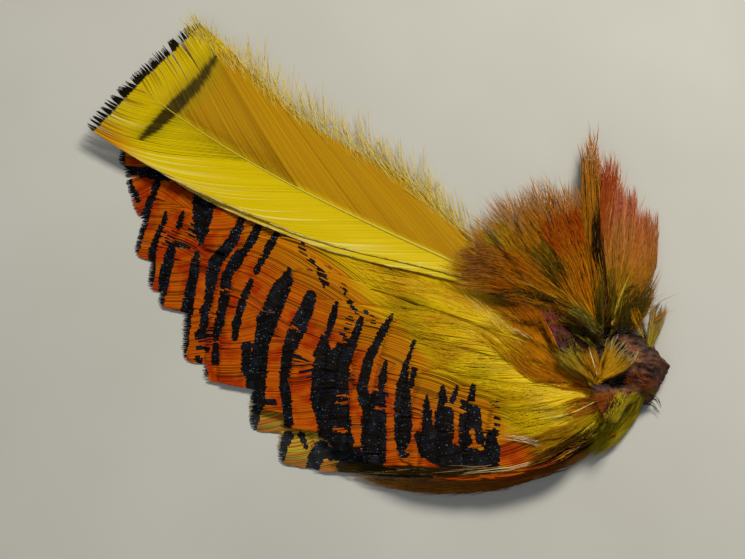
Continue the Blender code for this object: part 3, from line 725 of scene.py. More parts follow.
class Paint:
    """A Principled material and the nodes that colour it. Its methods return a node's output."""

    def __init__(self, name, **sockets):
        """The sockets named here are the same all over the surface, so they are set on the shader."""
        self.material = bpy.data.materials.new(name)
        self.material.use_nodes = True
        self.tree = self.material.node_tree
        self.shader = self.tree.nodes["Principled BSDF"]
        for socket, value in sockets.items():
            self.shader.inputs[socket.replace("_", " ")].default_value = self.plain(value)

    @staticmethod
    def plain(value):
        """A hex colour as a linear one, and any other value as it is."""
        return linear(value) if isinstance(value, str) else value

    def add(self, kind, inputs, output, **settings):
        """Adds a node with its settings. Each input is a value, a hex colour, or the output linked to it."""
        node = self.tree.nodes.new(kind)
        for name, value in settings.items():
            setattr(node, name, value)
        for socket, value in inputs.items():
            if isinstance(value, bpy.types.NodeSocket):
                self.tree.links.new(value, node.inputs[socket])
            else:
                node.inputs[socket].default_value = self.plain(value)
        return node.outputs[output]

    def read(self, name, output="Fac"):
        """The value that is stored by that name on each point of the mesh."""
        return self.add("ShaderNodeAttribute", {}, output, attribute_name=name)

    def ramp(self, value, low, high):
        """0 below low and 1 above high, or the reverse where low is the higher."""
        inputs = {"Value": value, "From Min": low, "From Max": high, "To Min": 0.0, "To Max": 1.0}
        return self.add("ShaderNodeMapRange", inputs, "Result", interpolation_type="SMOOTHSTEP")

    def mix(self, share, one, other):
        """One colour where the share is 0 and the other where it is 1."""
        return self.add("ShaderNodeMix", {0: share, 6: one, 7: other}, 2, data_type="RGBA")

    def calculate(self, operation, *numbers):
        """The result of a sum with one, two or three numbers."""
        return self.add("ShaderNodeMath", dict(enumerate(numbers)), 0, operation=operation)

    def times(self, one, other):
        return self.calculate("MULTIPLY", one, other)

    def patches(self, size, detail=2.0, stretch=(1, 1, 1)):
        """Soft random patches over the plan, size being their width in millimetres."""
        place = self.add("ShaderNodeNewGeometry", {}, "Position")
        scaled = self.add("ShaderNodeMapping", {"Vector": place, "Scale": stretch}, "Vector")
        inputs = {"Vector": scaled, "Scale": 1 / (size * MM), "Detail": detail}
        return self.add("ShaderNodeTexNoise", inputs, "Fac")

    def darker_edges(self, colour, amount):
        """The colour, darker along both edges of each barb, where the barbs beside it shade it."""
        return self.mix(self.times(self.ramp(self.read("edge"), 0.3, 1.0), amount), colour, "#000000")

    def finish(self, colour):
        """Gives the surface its colour and returns the material."""
        self.tree.links.new(colour, self.shader.inputs["Base Color"])
        return self.material


def with_bars(paint, colour):
    """The colour, turned to black melanin where a bar crosses the barb, with painted glints as small cold
    specks.
    """
    chance = paint.read("chance")
    black = None
    for number in range(BARS_ON_A_BARB):
        inside = paint.calculate("COMPARE", paint.read("step"), paint.read(f"bar_{number}"),
                                 paint.read(f"bar_half_{number}"))
        black = paint.calculate("MAXIMUM", black, inside) if black else inside
    melanin = paint.mix(chance, "#060707", "#0d0f12")
    melanin = paint.mix(paint.ramp(paint.patches(1.6), 0.5, 0.68), melanin, "#121a24")
    # Painted highlights: bluish-white specks of base colour where the barbs would catch the light
    painted_glint = paint.times(paint.ramp(paint.patches(0.3, 0.0), 0.68, 0.8), paint.ramp(chance, 0.3, 0.8))
    melanin = paint.mix(painted_glint, melanin, "#5a6c80")
    return paint.mix(black, colour, melanin)


def barred_keratin():
    """Barbs of dried keratin with carotene orange and melanin bars: silky, with small painted glints on the
    bars.
    """
    paint = Paint("barred_keratin", IOR=1.54, Roughness=0.42, Specular_IOR_Level=0.06,
                  Specular_Tint="#ffc890")
    chance = paint.read("chance")
    ripened = paint.calculate("ADD", paint.read("gold"), paint.times(paint.read("drift"), 6.0))
    red = paint.mix(chance, "#a02c02", "#b83c04")
    orange = paint.mix(chance, "#b64a04", "#cc6606")
    amber = paint.mix(chance, "#b86a04", "#d08c06")
    gold = paint.mix(chance, "#c49804", "#dcb80a")
    colour = paint.mix(paint.ramp(paint.patches(3.5), 0.42, 0.62), orange, red)
    colour = paint.mix(paint.ramp(ripened, -60.0, -10.0), colour, amber)
    colour = paint.mix(paint.ramp(ripened, -8.0, 6.0), colour, gold)
    colour = paint.mix(paint.times(paint.ramp(chance, 0.76, 0.9), 0.6), colour, "#2a0c02")
    colour = paint.darker_edges(colour, 0.75)
    colour = paint.mix(paint.read("shaft"), colour, "#a85408")
    return paint.finish(with_bars(paint, colour))


barred = barred_keratin()
for number, corners in enumerate(FAN_TIPS, 1):
    place = (number - 1) / (len(FAN_TIPS) - 1)
    root = tuple(np.array(FAN_FIRST_ROOT) + place * (np.array(FAN_LAST_ROOT) - np.array(FAN_FIRST_ROOT)))
    leaves = FAN_FIRST_HEADING + place * (FAN_LAST_HEADING - FAN_FIRST_HEADING)
    name = f"barred_tippet_{number:02d}"
    tippet = Feather(name, root, leaves, *from_tip_corners(*corners), TIPPET_OUTLINE)
    add_feather(tippet, barred, number, fan_marks, fan_marks_on_shaft)


# Pale tippets
# Three paler cape feathers under the fan, olive-yellow with a dark tip, of which only the ends show
# below it. They grow from the lower edge of the skin.

PALE_TIPS = (
    ((-22.1, -29.5), (-21.5, -19.0)),
    ((-17.0, -35.8), (-14.8, -22.0)),
    ((-10.6, -37.2), (-9.8, -26.0)),
)
PALE_ROOT = (41.0, -25.0)
PALE_ROOT_STEP = (1.2, -1.2)
PALE_HEADING = 185.0


def pale_keratin():
    """Barbs with little carotene, so they are a dull olive-yellow, and brown along the lower edge."""
    paint = Paint("pale_keratin", IOR=1.54, Roughness=0.45, Specular_IOR_Level=0.2)
    chance = paint.read("chance")
    colour = paint.mix(chance, "#b39a14", "#cdb52a")
    colour = paint.mix(paint.ramp(paint.read("side"), -0.5, -1.0), colour, "#6f5014")
    orange = paint.ramp(paint.calculate("ADD", paint.patches(3.0), chance), 0.95, 1.3)
    colour = paint.mix(orange, colour, "#b06408")
    colour = paint.darker_edges(colour, 0.6)
    colour = paint.mix(paint.read("shaft"), colour, "#8a6a20")
    return paint.finish(with_bars(paint, colour))


pale = pale_keratin()
for number, corners in enumerate(PALE_TIPS, 1):
    root = tuple(np.array(PALE_ROOT) + (number - 1) * np.array(PALE_ROOT_STEP))
    name = f"pale_tippet_{number}"
    tippet = Feather(name, root, PALE_HEADING, *from_tip_corners(*corners), TIPPET_OUTLINE)
    add_feather(tippet, pale, 40 + number, fan_marks, fan_marks_on_shaft)


# Brown rim feathers
# Two soft brown feathers that curl round the lower right of the pile from the skin's lower edge.
# Their barbs are thin and half see-through at the edge, so they look dull and wispy.

RIM_OUTLINE = ((0, 0.35), (0.3, 1.0), (0.6, 0.9), (0.85, 0.45), (1, 0.1))


def brown_keratin():
    """Barbs coloured by brown melanin over a little yellow: dull, darker towards the under side."""
    paint = Paint("brown_keratin", IOR=1.54, Roughness=0.5, Specular_IOR_Level=0.25)
    brown = paint.mix(paint.read("chance"), "#5a3008", "#8c4c0e")
    ends = paint.ramp(paint.patches(4.0), 0.4, 0.65)
    colour = paint.mix(ends, brown, "#a0641c")
    young = paint.mix(paint.read("chance"), "#6f6210", "#a8981c")
    colour = paint.mix(paint.ramp(paint.read("behind"), 34.0, 50.0), colour, young)
    colour = paint.mix(paint.read("shaft"), colour, "#4a3414")
    return paint.finish(colour)


brown = brown_keratin()
soft_rim = dict(outline=RIM_OUTLINE, bare=0.02, spacing=0.24, barb=0.24, lean=4.0, opening=16, uneven=0.9,
                wave=0.3, blunt=0.1, taper=5.0, loose=0.15, loose_length=2.0, shaft=0.25, segments=8)
for number, rim in enumerate((
        Feather("rim_feather_outer", (47.0, -24.5), 222, (-3.7, -37.8), 165, 2.8, 3.0, **soft_rim),
        Feather("rim_feather_inner", (45.6, -26.6), 218, (6.0, -36.4), 170, 3.2, 4.0, **soft_rim))):
    add_feather(rim, brown, 50 + number)


# Golden plumes
# Soft silky feathers over the bases of the fan, whose fine barbs hardly hook together, so they lie
# as one golden mass swept to the left. They grow from the skin above the tippets.

PLUME_OUTLINE = ((0, 0.05), (0.2, 0.45), (0.45, 0.95), (0.65, 1.0), (0.88, 0.8), (1, 0.3))


def golden_keratin():
    """Fine unhooked barbs full of carotene: a silky gold that turns orange and olive in patches."""
    paint = Paint("golden_keratin", IOR=1.54, Roughness=0.32, Specular_IOR_Level=0.2, Specular_Tint="#ffe080")
    colour = paint.mix(paint.read("chance"), "#d8ac02", "#f2d208")
    amber = paint.ramp(paint.patches(9.0, stretch=(0.6, 1, 1)), 0.48, 0.66)
    colour = paint.mix(paint.times(amber, 0.55), colour, "#c07806")
    olive = paint.ramp(paint.patches(6.0, stretch=(0.5, 1.2, 1)), 0.56, 0.72)
    colour = paint.mix(paint.times(olive, 0.4), colour, "#7d6a0c")
    colour = paint.darker_edges(colour, 0.45)
    return paint.finish(colour)


golden = golden_keratin()
flowing = Hairs(200, (0.05, 0.8), (-1.0, 1.0), (6.0, 14.0), (-7.0, 7.0), 0.35, 0.14)
silky = dict(outline=PLUME_OUTLINE, tip_bow=3.0, bare=0.04, spacing=0.15, barb=0.18, lean=4.5, opening=12,
             closing=2, far_closing=2, uneven=2.4, clump=0.1, bunch=12, wave=0.3, roll=0.3, blunt=0.05,
             taper=9.0, loose=0.06, loose_length=2.0, hairs=(flowing,), within_gold=True, shaft=0.1,
             segments=8)
for number, (root, leaves, tip, arrives, half) in enumerate((
        ((43.5, -26.0), 195, (26.0, -29.5), 178, 4.5),
        ((42.0, -24.5), 170, (17.5, -22.0), 168, 5.0),
        ((40.5, -22.5), 152, (10.0, -13.0), 160, 5.5),
        ((39.0, -20.0), 142, (3.0, -4.5), 158, 5.5),
        ((37.5, -17.0), 138, (-1.0, 3.5), 160, 5.0))):
    plume = Feather(f"golden_plume_{number + 1}", root, leaves, tip, arrives, half, half, **silky)
    add_feather(plume, golden, 60 + number)


# Large yellow tippets
# Two big cape feathers that lie over the fan, one on the other, yellow with a black fringe at the
# tip and one blurred dark bar. The upper one's barbs have come unhooked at the tip and along its
# upper edge.

LARGE_NEAR = (
    (0, 0.03), (0.15, 0.12), (0.3, 0.35), (0.41, 0.55), (0.52, 0.7), (0.65, 0.77), (0.78, 0.87), (1, 1),
)
LARGE_FAR = (
    (0, 0.02), (0.12, 0.15), (0.26, 0.44), (0.34, 0.59), (0.42, 0.68), (0.62, 0.71), (0.77, 0.83),
    (0.92, 0.98), (1, 1),
)
FRINGE = (2.3, 2.6, 2.5, 2.4, 1.9)         # width of the black at the tip
FRINGE_READ_AT = (-1, -0.5, 0, 0.5, 1)     # at these sides of the vane
NO_FRINGE = 9.0                            # for hairs and shafts, which stay yellow there
OLIVE_BAR = (                              # read in the photograph, as the fan's bars
    (142, 138, 3), (147, 134, 6), (153, 129, 8), (164, 118, 11), (175, 107, 13), (187, 95, 12),
    (194, 88, 10), (201, 80, 9), (207, 71, 8), (213, 62, 7), (217, 55, 2),
)


def large_marks(value, points, jag, rng, are_hairs):
    """Adds the black fringe and the olive bar to the values of a large tippet's barbs."""
    value["wisp"] = np.full((1, 1), float(are_hairs))
    black = np.interp(value["side"], FRINGE_READ_AT, FRINGE)
    value["tip_bar"] = value["behind"] - black - jag + NO_FRINGE * value["wisp"]
    middle, half = bars_on_barbs(points, jag, rng, (OLIVE_BAR,))
    value["step"] = np.arange(points.shape[1], dtype=float)[None]
    value["olive_middle"], value["olive_half"] = middle[:, :1], half[:, :1]


def large_marks_on_shaft(pixels):
    """The same for a shaft, which has no fringe."""
    crossed = np.where(inside_stroke(pixels, OLIVE_BAR) > 0, 0.0, NO_BAR)
    return {"olive_middle": crossed, "tip_bar": np.full(crossed.shape, NO_FRINGE)}


def yellow_keratin():
    """Smooth hooked barbs of yellow keratin: bright on the lower hand, ochre on the upper one."""
    paint = Paint("yellow_keratin", IOR=1.54, Roughness=0.36, Specular_IOR_Level=0.1, Specular_Tint="#ffe890")
    chance, side, behind = paint.read("chance"), paint.read("side"), paint.read("behind")
    hand, drift = paint.read("hand"), paint.read("drift")
    bright = paint.mix(chance, "#ceb002", "#dcc406")
    streak = paint.times(paint.ramp(drift, 0.2, 0.9), paint.ramp(hand, -0.2, -0.7))
    bright = paint.mix(paint.times(streak, 0.7), bright, "#efe27a")
    fibre = paint.times(paint.ramp(hand, -0.8, -0.93), paint.ramp(behind, 8.0, 20.0))
    bright = paint.mix(paint.times(fibre, 0.8), bright, paint.mix(chance, "#6a3608", "#f0d488"))
    ochre = paint.mix(chance, "#a87802", "#bc8e04")
    upper_hand = paint.times(paint.ramp(hand, -0.02, 0.08), paint.ramp(behind, 5.0, 13.0))
    colour = paint.mix(upper_hand, bright, ochre)
    near_tip = paint.times(paint.ramp(behind, 10.0, 3.0), paint.ramp(chance, 0.5, 0.9))
    colour = paint.mix(paint.times(near_tip, 0.55), colour, "#a05c04")
    corner = paint.times(paint.ramp(side, -0.5, -0.95), paint.ramp(behind, 16.0, 6.0))
    colour = paint.mix(paint.times(corner, chance), colour, "#c06006")
    colour = paint.darker_edges(colour, 0.3)
    wispy = paint.times(paint.read("wisp"), 0.7)
    colour = paint.mix(wispy, colour, paint.mix(chance, "#c0a420", "#f0e078"))
    gap = paint.calculate("SUBTRACT", paint.read("step"), paint.read("olive_middle"))
    gap = paint.calculate("ABSOLUTE", gap)
    olive = paint.calculate("SUBTRACT", paint.read("olive_half"), gap)
    green = paint.times(paint.ramp(olive, -1.6, -0.2), 0.4)
    colour = paint.mix(green, colour, "#8a8406")
    streaked = paint.times(paint.ramp(chance, 0.35, 0.9), paint.ramp(behind, 9.0, 1.5))
    colour = paint.mix(paint.times(streaked, 0.5), colour, "#5c4404")
    colour = paint.mix(paint.ramp(olive, -0.4, 0.2), colour, paint.mix(chance, "#2e2406", "#4a3c0a"))
    fringe = paint.ramp(paint.read("tip_bar"), 0.2, -0.2)
    colour = paint.mix(fringe, colour, "#0d0c09")
    colour = paint.mix(paint.read("shaft"), colour, "#d8c040")
    return paint.finish(colour)


yellow = yellow_keratin()
broad = dict(outline=LARGE_NEAR, far_outline=LARGE_FAR, bare=0.04, spacing=0.24, barb=0.3, lean=2.1,
             opening=28, closing=4, far_closing=20, clump=0.0, tip_clump=0.6, bunch=3, uneven=0.2, roll=0.06,
             taper=1.2, loose=0.0, shaft=0.36, segments=12)
unhooked = (
    Hairs(600, (0.08, 0.84), (0.8, 0.99), (3.0, 12.5), (22.0, 62.0), 0.8),
    Hairs(110, (0.84, 0.97), (0.8, 0.99), (1.5, 5.0), (15.0, 55.0), 0.8),
    Hairs(60, (0.93, 0.99), (0.8, 1.0), (2.0, 5.0), (5.0, 34.0), 0.8),
)
under_tip = from_tip_corners((-48.0, 29.0), (-30.0, 47.5), share=0.4)
upper_tip = from_tip_corners((-57.0, 33.3), (-36.4, 58.2), share=0.41)
under = Feather("large_tippet_under", (32.5, -6.5), 150, *under_tip, tip_bow=0.5, **broad)
upper = Feather("large_tippet_upper", (33.5, -5.5), 151, *upper_tip, tip_bow=0.8, hairs=unhooked, **broad)
for number, large in enumerate((under, upper)):
    add_feather(large, yellow, 70 + number, large_marks, large_marks_on_shaft)


# Dried skin
# The scrap of neck skin that holds every quill, dried hard, wrinkled and folded into a dark lump at
# the right. Blood and fat have turned it a deep red-brown.

WRINKLE_HEIGHT = 0.4
WRINKLES = (0.35, 0.9, 0.5)      # how many there are in a millimetre along X, Y and Z
FINE_HEIGHT = 0.2                # of the grain between them
FINE_WRINKLES = 2.2
HOLLOW_DEPTH = 0.12              # millimetres down for each pixel inside the hollow
HOLLOW_FLOOR = 4                 # pixels inside it at which it is no deeper
CORNER = (664, 366)              # the pixel where the fold ends in a point at the right
CORNER_REACH = 12                # pixels
CORNER_LENGTH = 1.1              # millimetres that it is drawn out by

# Parts of the skin that differ in colour: strokes in the photograph's pixels, as the fan's bars
SKIN_STROKES = {
    "fold": (((624, 342, 10), (634, 350, 14), (634, 366, 10)), ((612, 392, 6), (636, 386, 8))),
    "raw": (((548, 312, 22), (562, 330, 20)),),
    "rusty": (((640, 376, 14), (652, 384, 14)), ((604, 396, 12), (608, 424, 10))),
    # The hollow: painted shadow, near-black in the fold's opening and along the seam under the tuft, also
    # sunk
    "hollow": (((603, 383, 5), (620, 382, 9), (638, 376, 5)), ((618, 330, 6), (640, 336, 6))),
}


def dried_hide():
    """Raw skin dried without tanning: dark red-brown, horny, with a dull shine on its ridges."""
    paint = Paint("dried_hide", IOR=1.5, Specular_IOR_Level=0.3)
    coarse, fine = paint.patches(3.0, 4.0), paint.patches(0.6, 4.0)
    colour = paint.mix(paint.ramp(coarse, 0.38, 0.62), "#26120a", "#4e2c1c")
    colour = paint.mix(paint.ramp(fine, 0.5, 0.75), colour, "#6e4a2a")
    ragged = paint.times(paint.calculate("SUBTRACT", coarse, 0.5), 30.0)
    # The skin's stains, and the painted shadow in the hollow
    for name, stain_or_shade in (("fold", "#7c4c2c"), ("raw", "#602420"), ("rusty", "#5c2c10"), ("hollow", "#070403")):
        share = paint.ramp(paint.calculate("ADD", paint.read(name), ragged), -3.0, 3.0)
        colour = paint.mix(share, colour, stain_or_shade)
    dull = paint.add("ShaderNodeMapRange", {"Value": fine, "To Min": 0.45, "To Max": 0.8}, "Result")
    paint.tree.links.new(dull, paint.shader.inputs["Roughness"])
    grain = {"Height": fine, "Strength": 0.5, "Distance": FINE_HEIGHT * MM}
    paint.tree.links.new(paint.add("ShaderNodeBump", grain, "Normal"), paint.shader.inputs["Normal"])
    return paint.finish(colour)


def wrinkled_skin():
    """The plain skin with its facets rounded off and fine wrinkles raised along its normals."""
    made = bpy.data.objects.new("dried_skin_wrinkled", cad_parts["dried_skin"].data.copy())
    put_in(made, "dried_skin")
    welded = made.modifiers.new("weld", "WELD")
    welded.merge_threshold = 0.01 * MM
    rounded = made.modifiers.new("rounded", "SUBSURF")
    rounded.levels = rounded.render_levels = 3
    graph = bpy.context.evaluated_depsgraph_get()
    mesh = bpy.data.meshes.new_from_object(made.evaluated_get(graph))
    made.modifiers.clear()
    made.data = mesh
    outward = [point.normal.copy() for point in mesh.vertices]
    for point, normal in zip(mesh.vertices, outward):
        place = point.co / MM
        folds = noise.noise(Vector([often * place[axis] for axis, often in enumerate(WRINKLES)]))
        ridge = 1 - abs(folds) * 2.5
        fine = noise.noise(FINE_WRINKLES * place)
        point.co += normal * (WRINKLE_HEIGHT * ridge + FINE_HEIGHT * fine) * MM
    pixels = photo_pixels(np.array([point.co for point in mesh.vertices]) / MM)
    depth = {name: inside_any(pixels, strokes) for name, strokes in SKIN_STROKES.items()}
    for name in depth:
        add_value(mesh, name, depth[name])
    sunk = HOLLOW_DEPTH * np.clip(depth["hollow"], 0, HOLLOW_FLOOR)
    near_corner = np.clip(1 - np.linalg.norm(pixels - CORNER, axis=-1) / CORNER_REACH, 0, 1)
    for point, normal, down, near in zip(mesh.vertices, outward, sunk, near_corner):
        point.co -= normal * down * MM
        point.co.x += CORNER_LENGTH * near**2 * MM
        point.co.z = max(point.co.z, 0)
    mesh.materials.clear()
    mesh.materials.append(dried_hide())
    mesh.shade_smooth()


@dataclass
class Lock:
    """Hairs that lie together along a line."""
    line: tuple                  # read in the photograph: (x, y, width) in its pixels, from the root on
    hairs: int
    root: str                    # colour where the line starts
    end: str                     # colour where it ends
    reach: tuple = (0.4, 0.9)    # shares of the line that one hair covers
    thick: float = 0.11
    lift: float = 0.4            # how high the hairs stand over the solids
    drawn: float = 0.5           # how far neighbouring ends are drawn together into points


def heights_seen(pixels, tree):
    """The height of the solid that each pixel shows, with the camera's place and the lines of sight."""
    c, s = math.cos(VIEW_ELEVATION), math.sin(VIEW_ELEVATION)
    eye = np.array(VIEW_TARGET) - np.array((*PLAN_ORIGIN, 0)) - VIEW_DISTANCE * np.array((0, c, -s))
    focal = VIEW_DISTANCE / VIEW_PIXEL
    across = pixels[..., 0] - IMAGE_SIZE[0] / 2
    up = IMAGE_SIZE[1] / 2 - pixels[..., 1]
    sight = np.stack((across, focal * c + up * s, -focal * s + up * c), axis=-1)
    heights = np.full(pixels.shape[:2], np.nan)
    for index in np.ndindex(heights.shape):
        hit = tree.ray_cast(Vector(eye * MM), Vector(sight[index]).normalized())[0]
        if hit:
            heights[index] = hit.z / MM
    return heights, eye, sight


LOCK_POINTS = 7                  # points along a hair
DROOP = 0.5                      # how far it sinks at each of them once it is past the solids
CLEARANCE = 0.06                 # how far the lowest hairs are above the solids
HAIRS_IN_A_POINT = 9             # hairs whose ends are drawn together
WANDER = 0.9                     # pixels by which a hair wanders from its line
SMOOTHINGS = 3                   # passes that round a hair's way over the solids


def lock_strips(lock, tree, rng):
    """The hairs of a lock as strips that lie on the solids, with the values and colours they carry."""
    x, y, wide = np.array(lock.line, float).T
    walked = np.concatenate(([0], np.cumsum(np.hypot(np.diff(x), np.diff(y)))))
    t = np.linspace(0, 1, LOCK_POINTS)
    reach = rng.uniform(*lock.reach, (lock.hairs, 1))
    share = rng.random((lock.hairs, 1)) * (1 - reach) + reach * t
    at = share * walked[-1]
    back, middle, ahead = (np.stack((np.interp(at + off, walked, x), np.interp(at + off, walked, y)), axis=-1)
                           for off in (-4, 0, 4))
    along = (ahead - back) / np.linalg.norm(ahead - back, axis=-1, keepdims=True)
    side = rng.uniform(-1, 1, (lock.hairs, 1))
    points_at = rng.uniform(-1, 1, max(1, lock.hairs // HAIRS_IN_A_POINT))
    nearest = points_at[np.argmin(np.abs(side - points_at), axis=1)][:, None]
    side = side + lock.drawn * (nearest - side) * t**2
    wander = WANDER * np.sin(rng.random((lock.hairs, 1)) * 6.3 + 4 * t) * rng.normal(0, 1, (lock.hairs, 1))
    offset = 0.5 * side * np.interp(at, walked, wide) + wander
    pixels = middle - right_of(along) * offset[..., None]
    heights, eye, sight = heights_seen(pixels, tree)
    for k in range(1, LOCK_POINTS):
        drooping = np.maximum(heights[:, k - 1] - DROOP, min(DROOP, lock.lift))
        heights[:, k] = np.where(np.isnan(heights[:, k]), drooping, heights[:, k])
    heights = np.nan_to_num(heights, nan=1.0)
    seen = heights
    for _ in range(SMOOTHINGS):
        padded = np.pad(heights, ((0, 0), (1, 1)), mode="edge")
        heights = 0.25 * padded[:, :-2] + 0.5 * padded[:, 1:-1] + 0.25 * padded[:, 2:]
    chance = rng.random((lock.hairs, 1))
    heights = np.maximum(heights, seen) + CLEARANCE + lock.lift * (0.25 + 0.75 * chance * t)
    points = eye + sight * ((heights - eye[2]) / sight[..., 2])[..., None]
    half = 0.5 * lock.thick * rng.uniform(0.7, 1.2, (lock.hairs, 1)) * np.clip(3 * (1 - t), 0.12, 1)
    strips = ribbon_strips(points, half, rng.normal(0, 0.4, lock.hairs))
    share = (np.clip(share + rng.normal(0, 0.1, (lock.hairs, 1)), 0, 1) ** 1.5)[..., None]
    tint = np.array(linear(lock.root)) * (1 - share) + np.array(linear(lock.end)) * share
    tint[..., :3] *= rng.uniform(0.75, 1.25, (lock.hairs, 1, 1))
    return strips, np.broadcast_to(chance, heights.shape), tint


def downy_keratin():
    """Thin unhooked barbs, each lock with its own share of yellow, ginger and brown: dull and soft."""
    paint = Paint("downy_keratin", IOR=1.54, Roughness=0.5, Specular_IOR_Level=0.06, Specular_Tint="#ffb060")
    tint = paint.read("tint", "Color")
    worn = paint.times(paint.ramp(paint.patches(1.2), 0.5, 0.7), 0.25)
    colour = paint.darker_edges(paint.mix(worn, tint, "#2a1c08"), 0.4)
    return paint.finish(colour)


downy = downy_keratin()
solid_points, solid_faces = [], []
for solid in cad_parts.values():
    solid_faces += [[k + len(solid_points) for k in face.vertices] for face in solid.data.polygons]
    solid_points += [point.co for point in solid.data.vertices]
solids = BVHTree.FromPolygons(solid_points, solid_faces)


def add_locks(node, rng, locks):
    """Adds the locks that lie on one solid as one piece."""
    made = [lock_strips(lock, solids, rng) for lock in locks]
    values = [{"chance": chance} for _, chance, _ in made]
    mesh = assemble(node + "_locks", [strips for strips, _, _ in made], values, np.zeros((0, 6, 3)), {})
    tints = np.concatenate([np.repeat(tint[:, :, None], 3, axis=2).reshape(-1, 4) for _, _, tint in made])
    mesh.attributes.new("tint", "FLOAT_COLOR", "POINT").data.foreach_set("color", tints.ravel())
    mesh.materials.append(downy)
    put_in(bpy.data.objects.new(mesh.name, mesh), node)


wrinkled_skin()

# The darkest hair colour, a dark olive-brown
DARK_OLIVE = "#2c2610"
rng = np.random.default_rng(90)
add_locks("dried_skin", rng, (
    Lock(((568, 340, 14), (557, 325, 20), (548, 306, 18)), 150, "#5c2424", "#a04c40", (0.1, 0.25), lift=0.8,
         drawn=0.1),
    Lock(((604, 345, 18), (584, 326, 26), (566, 308, 18)), 280, "#5c5018", "#807428", (0.12, 0.35), lift=2.6,
         drawn=0.2),
    Lock(((590, 350, 14), (572, 338, 22), (560, 322, 16)), 110, "#46301c", "#5c4c1c", (0.1, 0.3), lift=1.6,
         drawn=0.2),
    Lock(((594, 345, 12), (578, 340, 14), (562, 345, 10)), 80, "#4a1c24", "#3a1418", (0.15, 0.4), lift=1.0),
    Lock(((596, 338, 12), (584, 326, 18), (562, 312, 16)), 40, "#b09c1c", "#b8b060", (0.08, 0.16), lift=3.0),
    Lock(((608, 392, 18), (607, 408, 20), (602, 426, 14)), 220, "#8a4812", "#4c2014", (0.15, 0.4), lift=0.8,
         drawn=0.2),
    Lock(((613, 398, 8), (610, 412, 12), (604, 424, 10)), 16, "#c09060", "#a87848", (0.12, 0.3), lift=1.2),
    Lock(((620, 394, 10), (616, 402, 8), (610, 414, 6)), 50, "#24100e", "#3a1a1c", (0.2, 0.5), lift=1.0),
    # Near-black hairs along the seam between the tuft and the skin: painted shade there
    Lock(((600, 334, 8), (622, 326, 8), (640, 336, 8)), 60, "#1c1210", "#2c1c14", (0.15, 0.3)),
    Lock(((640, 402, 3), (652, 404, 3), (660, 415, 2)), 5, DARK_OLIVE, DARK_OLIVE, (0.7, 1.0)),
    Lock(((648, 394, 3), (657, 400, 2), (661, 409, 1)), 4, DARK_OLIVE, DARK_OLIVE, (0.7, 1.0)),
    Lock(((645, 385, 22), (655, 396, 20)), 60, "#5a3414", "#6a5c10", (0.3, 0.8)),
    Lock(((622, 376, 10), (640, 382, 16), (654, 388, 12)), 70, "#7a3c14", "#8a4418", (0.1, 0.3), drawn=0.1),
))


# Neck tuft
# Short body feathers that stand in a tuft behind the skin: a broad ginger lobe to the left, a tall
# thin spike, and a red lobe to the right. Their barbs have no hooks, so they end in loose hairs.

NECK_OUTLINE = ((0, 0.06), (0.2, 0.4), (0.5, 0.9), (0.75, 1.0), (0.92, 0.85), (1, 0.6))

# Patches of the tuft that differ in colour: strokes in the photograph's pixels, as the fan's bars
TUFT_STROKES = {
    "rusty": (((545, 218, 26), (572, 232, 30)), ((606, 165, 12), (608, 205, 12)),
              ((560, 262, 18), (580, 290, 14))),
    # The darkest patches, at the base of the tuft and between its lobes
    "dark_olive": (((540, 246, 12), (562, 280, 14)), ((594, 205, 8), (597, 262, 8)),
              ((600, 275, 22), (605, 330, 26)), ((644, 290, 30), (625, 330, 30)),
              ((478, 293, 5), (592, 322, 6))),
    "rosy": (((630, 190, 30), (640, 240, 34)),),
}
PATCH_EDGE = (-6.0, 18.0)        # pixels inside a patch between which its colour comes in
PATCH_STRAY = 14.0               # pixels by which this differs from barb to barb


def ginger_keratin():
    """Loose hair-like barbs of ginger melanin, redder and greener in patches, pale at the ends."""
    paint = Paint("ginger_keratin", IOR=1.54, Roughness=0.5, Specular_IOR_Level=0.06, Specular_Tint="#ffb060")
    chance, along = paint.read("chance"), paint.read("along")
    ginger = paint.mix(chance, "#8c5408", "#c07a0c")
    stray = paint.times(chance, PATCH_STRAY)

    def inside(patch):
        """0 outside a patch of the tuft and 1 well inside it, its edge ragged from barb to barb."""
        return paint.ramp(paint.calculate("ADD", paint.read(patch), stray), *PATCH_EDGE)

    colour = paint.mix(inside("rosy"), ginger, paint.mix(chance, "#b4603a", "#c88050"))
    colour = paint.mix(paint.times(inside("rusty"), 0.85), colour, "#9c3408")
    colour = paint.mix(paint.times(inside("dark_olive"), 0.85), colour, "#2e2a0c")
    ends = paint.times(paint.ramp(along, 0.6, 1.0), paint.times(chance, 0.5))
    colour = paint.mix(ends, colour, "#c89a58")
    colour = paint.mix(paint.read("shaft"), colour, "#b88c28")
    return paint.finish(colour)


